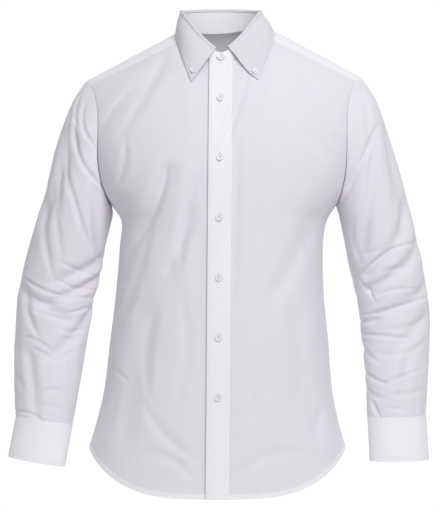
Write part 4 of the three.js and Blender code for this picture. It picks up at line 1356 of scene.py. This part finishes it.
class SHIRT_OT_collar(bpy.types.Operator):
    """Lays the collar's stand and leaf"""

    bl_idname = "shirt.collar"
    bl_label = "Collar"

    def execute(self, context):
        angles = np.linspace(-neck_angle(BAND_HALF), 360 + neck_angle(UNDER_EDGE), STAND_GRID[0])
        points = stand_points(angles, STAND_GRID[1])
        add_sheet("collar_stand", points, fused=True, doubled=np.ones(points.shape[:2]))
        add_stitches("stand_stitches", [inset_line(points, "bottom", EDGE_STITCH, EDGE_STITCH)])
        points = leaf_points(*(np.linspace(0, 1, count) for count in LEAF_GRID))
        lines = [inset_line(points, "bottom", TOP_STITCH, TOP_STITCH)]
        lines += [leaf_front_line(points, edge) for edge in ("start", "end")]
        add_stitches("leaf_stitches", lines)
        add_sheet("collar_leaf", points, fused=True)
        return {"FINISHED"}


def give_finish(piece, finish):
    """Makes this the only finish of a piece."""
    piece.data.materials.clear()
    piece.data.materials.append(finish_named(finish))


def model_button(name, radius, height):
    """Models a four-hole button at the origin, facing up, and returns its object."""
    bpy.ops.object.select_all(action="DESELECT")
    bpy.ops.mesh.primitive_cylinder_add(
        vertices=40, radius=radius, depth=height, location=(0, 0, height / 2)
    )
    piece = bpy.context.object
    piece.name = name
    bpy.ops.object.transform_apply(location=True, rotation=False, scale=False)
    select_top(piece, height)
    bpy.ops.mesh.inset(thickness=radius * BUTTON_RIM)
    bpy.ops.mesh.inset(thickness=radius * BUTTON_SLOPE)
    bpy.ops.transform.translate(value=(0, 0, -height * WELL_DEEP))
    bpy.ops.mesh.inset(thickness=radius * BUTTON_WELL)
    bpy.ops.object.mode_set(mode="OBJECT")
    soften = piece.modifiers.new("Rounded edges", "BEVEL")
    soften.width = height * EDGE_ROUND
    soften.segments = 3
    soften.limit_method = "ANGLE"
    soften.angle_limit = math.radians(25)
    bpy.ops.object.modifier_apply(modifier=soften.name)
    for k in range(4):
        turn = math.radians(45 + 90 * k)
        out = radius * HOLE_OUT
        place = (out * math.cos(turn), out * math.sin(turn), height / 2)
        bpy.ops.object.select_all(action="DESELECT")
        bpy.ops.mesh.primitive_cylinder_add(
            vertices=16, radius=radius * HOLE_RADIUS, depth=height * 3, location=place
        )
        drill = bpy.context.object
        cut = piece.modifiers.new("Hole", "BOOLEAN")
        cut.operation = "DIFFERENCE"
        cut.object = drill
        bpy.context.view_layer.objects.active = piece
        bpy.ops.object.modifier_apply(modifier=cut.name)
        bpy.data.objects.remove(drill)
    select_only(piece)
    bpy.ops.object.shade_smooth_by_angle(angle=math.radians(32))
    give_finish(piece, "pearl resin")
    return piece


def select_top(piece, height):
    """Enters edit mode with only the uppermost face selected."""
    bpy.context.view_layer.objects.active = piece
    bpy.ops.object.mode_set(mode="EDIT")
    bpy.ops.mesh.select_all(action="DESELECT")
    bpy.ops.mesh.select_mode(type="FACE")
    shape = bmesh.from_edit_mesh(piece.data)
    for face in shape.faces:
        top = face.normal.z > 0.9 and face.calc_center_median().z > height * 0.9
        face.select_set(top)
    bmesh.update_edit_mesh(piece.data)


def model_thread(name, radius, height):
    """Models the two stitches across a button's holes."""
    bpy.ops.object.select_all(action="DESELECT")
    parts = []
    reach = radius * HOLE_OUT * math.sqrt(0.5)
    thick = radius * THREAD_RADIUS
    for side in (-1, 1):
        bpy.ops.mesh.primitive_uv_sphere_add(
            segments=10, ring_count=8, radius=thick, location=(0, 0, 0)
        )
        bar = bpy.context.object
        bpy.ops.object.mode_set(mode="EDIT")
        bpy.ops.mesh.select_all(action="SELECT")
        bpy.ops.transform.resize(value=(1, (reach + radius * 0.1) / thick, 1))
        bpy.ops.transform.translate(value=(side * reach, 0, height * THREAD_LEVEL))
        bpy.ops.object.mode_set(mode="OBJECT")
        parts.append(bar)
    for bar in parts:
        bar.select_set(True)
    bpy.context.view_layer.objects.active = parts[0]
    bpy.ops.object.join()
    piece = bpy.context.object
    piece.name = name
    bpy.ops.object.shade_smooth()
    give_finish(piece, "spun polyester thread")
    return piece


def model_buttonhole(name, long, wide):
    """Models the ring of close stitches round a buttonhole, upright at the origin, half sunk."""
    bpy.ops.object.select_all(action="DESELECT")
    bpy.ops.mesh.primitive_torus_add(
        major_segments=24, minor_segments=6, major_radius=wide * 0.3, minor_radius=wide * 0.2
    )
    piece = bpy.context.object
    piece.name = name
    bpy.ops.object.mode_set(mode="EDIT")
    bpy.ops.mesh.select_mode(type="VERT")
    for way in (-1, 1):
        bpy.ops.mesh.select_all(action="DESELECT")
        shape = bmesh.from_edit_mesh(piece.data)
        for vert in shape.verts:
            vert.select_set(vert.co.y * way > wide * 0.01)
        bmesh.update_edit_mesh(piece.data)
        bpy.ops.transform.translate(value=(0, way * (long - wide) / 2, 0))
    bpy.ops.object.mode_set(mode="OBJECT")
    bpy.ops.object.shade_smooth()
    give_finish(piece, "spun polyester thread")
    return piece


def place_copy(model, name, at, normal, replaces=None, lean=0.0):
    """Adds a copy of a model with its own mesh, standing at a place along a normal."""
    out = Vector(normal)
    across = Vector((0, 0, 1)).cross(out).normalized()
    up = out.cross(across)
    turn = Matrix((across, up, out)).transposed().to_4x4() @ Matrix.Rotation(math.radians(lean), 4, "Z")
    mesh = model.data.copy()
    mesh.transform(Matrix.Translation(Vector(at) * MM) @ turn)
    mesh.name = name
    piece = add_object(name, mesh)
    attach(piece, "root")
    if replaces:
        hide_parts(replaces)


def band_point(z):
    at = body_point(0.0, z, -1)
    across = body_point(1.0, z, -1) - body_point(-1.0, z, -1)
    up = body_point(0.0, z + 1, -1) - body_point(0.0, z - 1, -1)
    return at, unit(np.cross(across, up))


def button_places():
    """Name, place and normal of every button, and whether it is a small one."""
    places = []
    for k in range(BUTTON_COUNT):
        at, normal = band_point(FIRST_BUTTON - BUTTON_STEP * k)
        places.append((f"button_{k + 1}", at + normal * BAND_TOP, normal, False))

    low = neckline_point(0.0)
    high = fold_point(0.0)
    at = mix(low, high, (STAND_BUTTON_Z - low[2]) / (high[2] - low[2]))
    normal = unit(np.cross([1.0, 0, 0], high - low))
    places.append(("button_stand", at + normal * SEAM_GAP, normal, False))

    for side, (u, t) in LEAF_BUTTONS.items():
        grid = leaf_points(np.array([u - 0.01, u, u + 0.01]), np.array([t - 0.05, t, t + 0.05]))
        normal = normals_of(grid)[1, 1]
        places.append((f"button_collar_{side}", grid[1, 1] + normal * SEAM_GAP, normal, True))

    for hand, side in HANDS:
        turn = 360 + CUFF_LAP - CUFF_BUTTON_IN
        grid = cuff_points(hand, np.array([turn - 1.0, turn, turn + 1.0]), 2)
        normal = normals_of(grid)[1, 1]
        places.append((f"button_cuff_{side}", grid[1, 1] + normal * SEAM_GAP, normal, True))
    return places


class SHIRT_OT_buttons(bpy.types.Operator):
    """Models a button in two sizes and sews copies of it on"""

    bl_idname = "shirt.buttons"
    bl_label = "Buttons"

    def execute(self, context):
        sizes = context.scene.shirt_settings
        models = {}
        holes = {}
        for small in (False, True):
            radius = sizes.small_button_radius if small else sizes.button_radius
            height = radius * BUTTON_HEIGHT
            name = "small" if small else "large"
            models[small] = (
                model_button(f"{name}_button_model", radius, height),
                model_thread(f"{name}_thread_model", radius, height),
            )
            long = radius * 2 + BUTTONHOLE_EASE * MM
            holes[small] = model_buttonhole(f"{name}_hole_model", long, BUTTONHOLE_WIDE * MM)
        for name, at, normal, small in button_places():
            button, sewing = models[small]
            place_copy(button, f"{name}_resin", at, normal, name)
            place_copy(sewing, f"{name}_thread", at, normal)
            hole = holes[small]
            place_copy(hole, f"{name}_hole", at, normal, None, BUTTONHOLE_LEANS.get(name, 0.0))
        for pair in (*models.values(), holes.values()):
            for model in pair:
                bpy.data.objects.remove(model)
        return {"FINISHED"}


def add_lamp(name, place, aim, size, power, spread=180):
    """Adds a square lamp turned towards a place; its light spreads over this many degrees."""
    data = bpy.data.lights.new(name, "AREA")
    data.size = size
    data.energy = power
    data.spread = math.radians(spread)
    lamp = add_object(name, data)
    lamp.location = place
    lamp.rotation_euler = (Vector(aim) - Vector(place)).to_track_quat("-Z", "Y").to_euler()
    return lamp


class SHIRT_OT_stage(bpy.types.Operator):
    """Sets up the camera, the lights and a plain pale floor"""

    bl_idname = "shirt.stage"
    bl_label = "Stage"

    def execute(self, context):
        scene = context.scene
        sizes = scene.shirt_settings
        view = bpy.data.cameras.new("View")
        view.sensor_fit = "VERTICAL"
        view.sensor_height = SENSOR
        view.lens = SENSOR * CAMERA_AWAY / PHOTO_HIGH
        view.clip_end = 50
        camera = add_object("View", view)
        camera.location = (CAMERA_X, -CAMERA_AWAY, CAMERA_Z)
        camera.rotation_euler = (math.radians(90), 0, 0)
        scene.camera = camera

        add_lamp("Key", (0.9, -2.1, 1.25), LAMPS_AIM, 1.1, 44)
        add_lamp("Fill", (-1.2, -2.7, 0.3), LAMPS_AIM, 2.2, 14)
        add_lamp("Top", (0.0, -0.7, 1.9), LAMPS_AIM, 1.4, 1)
        # The inside of the neck, which the photo has lit by itself
        neck = add_lamp("Neck", (0, -0.01, -0.13), (0, 0.078, -0.02), 0.08, 0.005, 60)
        neck.visible_camera = False

        world = bpy.data.worlds.new("Studio")
        scene.world = world
        world.use_nodes = True
        tree = world.node_tree
        way = add_node(tree, "ShaderNodeTexCoord")["Generated"]
        depth = add_node(tree, "ShaderNodeSeparateXYZ", None, {"Vector": way})["Y"]
        # A white wall behind the shirt, and a dimmer room in front of it
        reach = {"From Min": -0.1, "From Max": 0.7, "To Min": sizes.room, "To Max": sizes.wall}
        reach["Value"] = depth
        smoothly = {"interpolation_type": "SMOOTHSTEP"}
        strength = add_node(tree, "ShaderNodeMapRange", smoothly, reach)["Result"]
        ground = tree.nodes["Background"]
        ground.inputs["Color"].default_value = linear("#ffffff")
        tree.links.new(strength, ground.inputs["Strength"])
        scene.view_settings.view_transform = "Standard"

        bpy.ops.object.select_all(action="DESELECT")
        bpy.ops.mesh.primitive_cylinder_add(
            vertices=128, radius=1.0, depth=FLOOR_THICK, location=(0, 0, FLOOR_TOP - FLOOR_THICK / 2)
        )
        floor = bpy.context.object
        floor.name = "floor"
        bpy.ops.object.transform_apply(location=True, rotation=False, scale=False)
        bpy.ops.object.mode_set(mode="EDIT")
        bpy.ops.mesh.select_all(action="SELECT")
        bpy.ops.mesh.bevel(offset=FLOOR_THICK / 4, segments=3)
        bpy.ops.object.mode_set(mode="OBJECT")
        bpy.ops.object.shade_smooth_by_angle(angle=math.radians(40))
        give_finish(floor, "white studio board")
        return {"FINISHED"}


class SHIRT_PT_panel(bpy.types.Panel):
    """Lists the shirt's pieces"""

    bl_label = "Shirt"
    bl_space_type = "VIEW_3D"
    bl_region_type = "UI"
    bl_category = "Shirt"

    def draw(self, context):
        for name in ShirtSettings.__annotations__:
            self.layout.prop(context.scene.shirt_settings, name)
        for operator in OPERATORS:
            self.layout.operator(operator.bl_idname)


OPERATORS = (
    SHIRT_OT_stage,
    SHIRT_OT_fronts,
    SHIRT_OT_back,
    SHIRT_OT_sleeves,
    SHIRT_OT_cuffs,
    SHIRT_OT_collar,
    SHIRT_OT_buttons,
)
CLASSES = (ShirtSettings, *OPERATORS, SHIRT_PT_panel)


def register():
    for item in CLASSES:
        bpy.utils.register_class(item)
    bpy.types.Scene.shirt_settings = bpy.props.PointerProperty(type=ShirtSettings)


def unregister():
    del bpy.types.Scene.shirt_settings
    for item in reversed(CLASSES):
        bpy.utils.unregister_class(item)


def main():
    register()
    bpy.ops.shirt.stage()
    bpy.ops.shirt.fronts()
    bpy.ops.shirt.back()
    bpy.ops.shirt.sleeves()
    bpy.ops.shirt.cuffs()
    bpy.ops.shirt.collar()
    bpy.ops.shirt.buttons()
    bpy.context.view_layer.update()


if __name__ == "__main__":
    main()
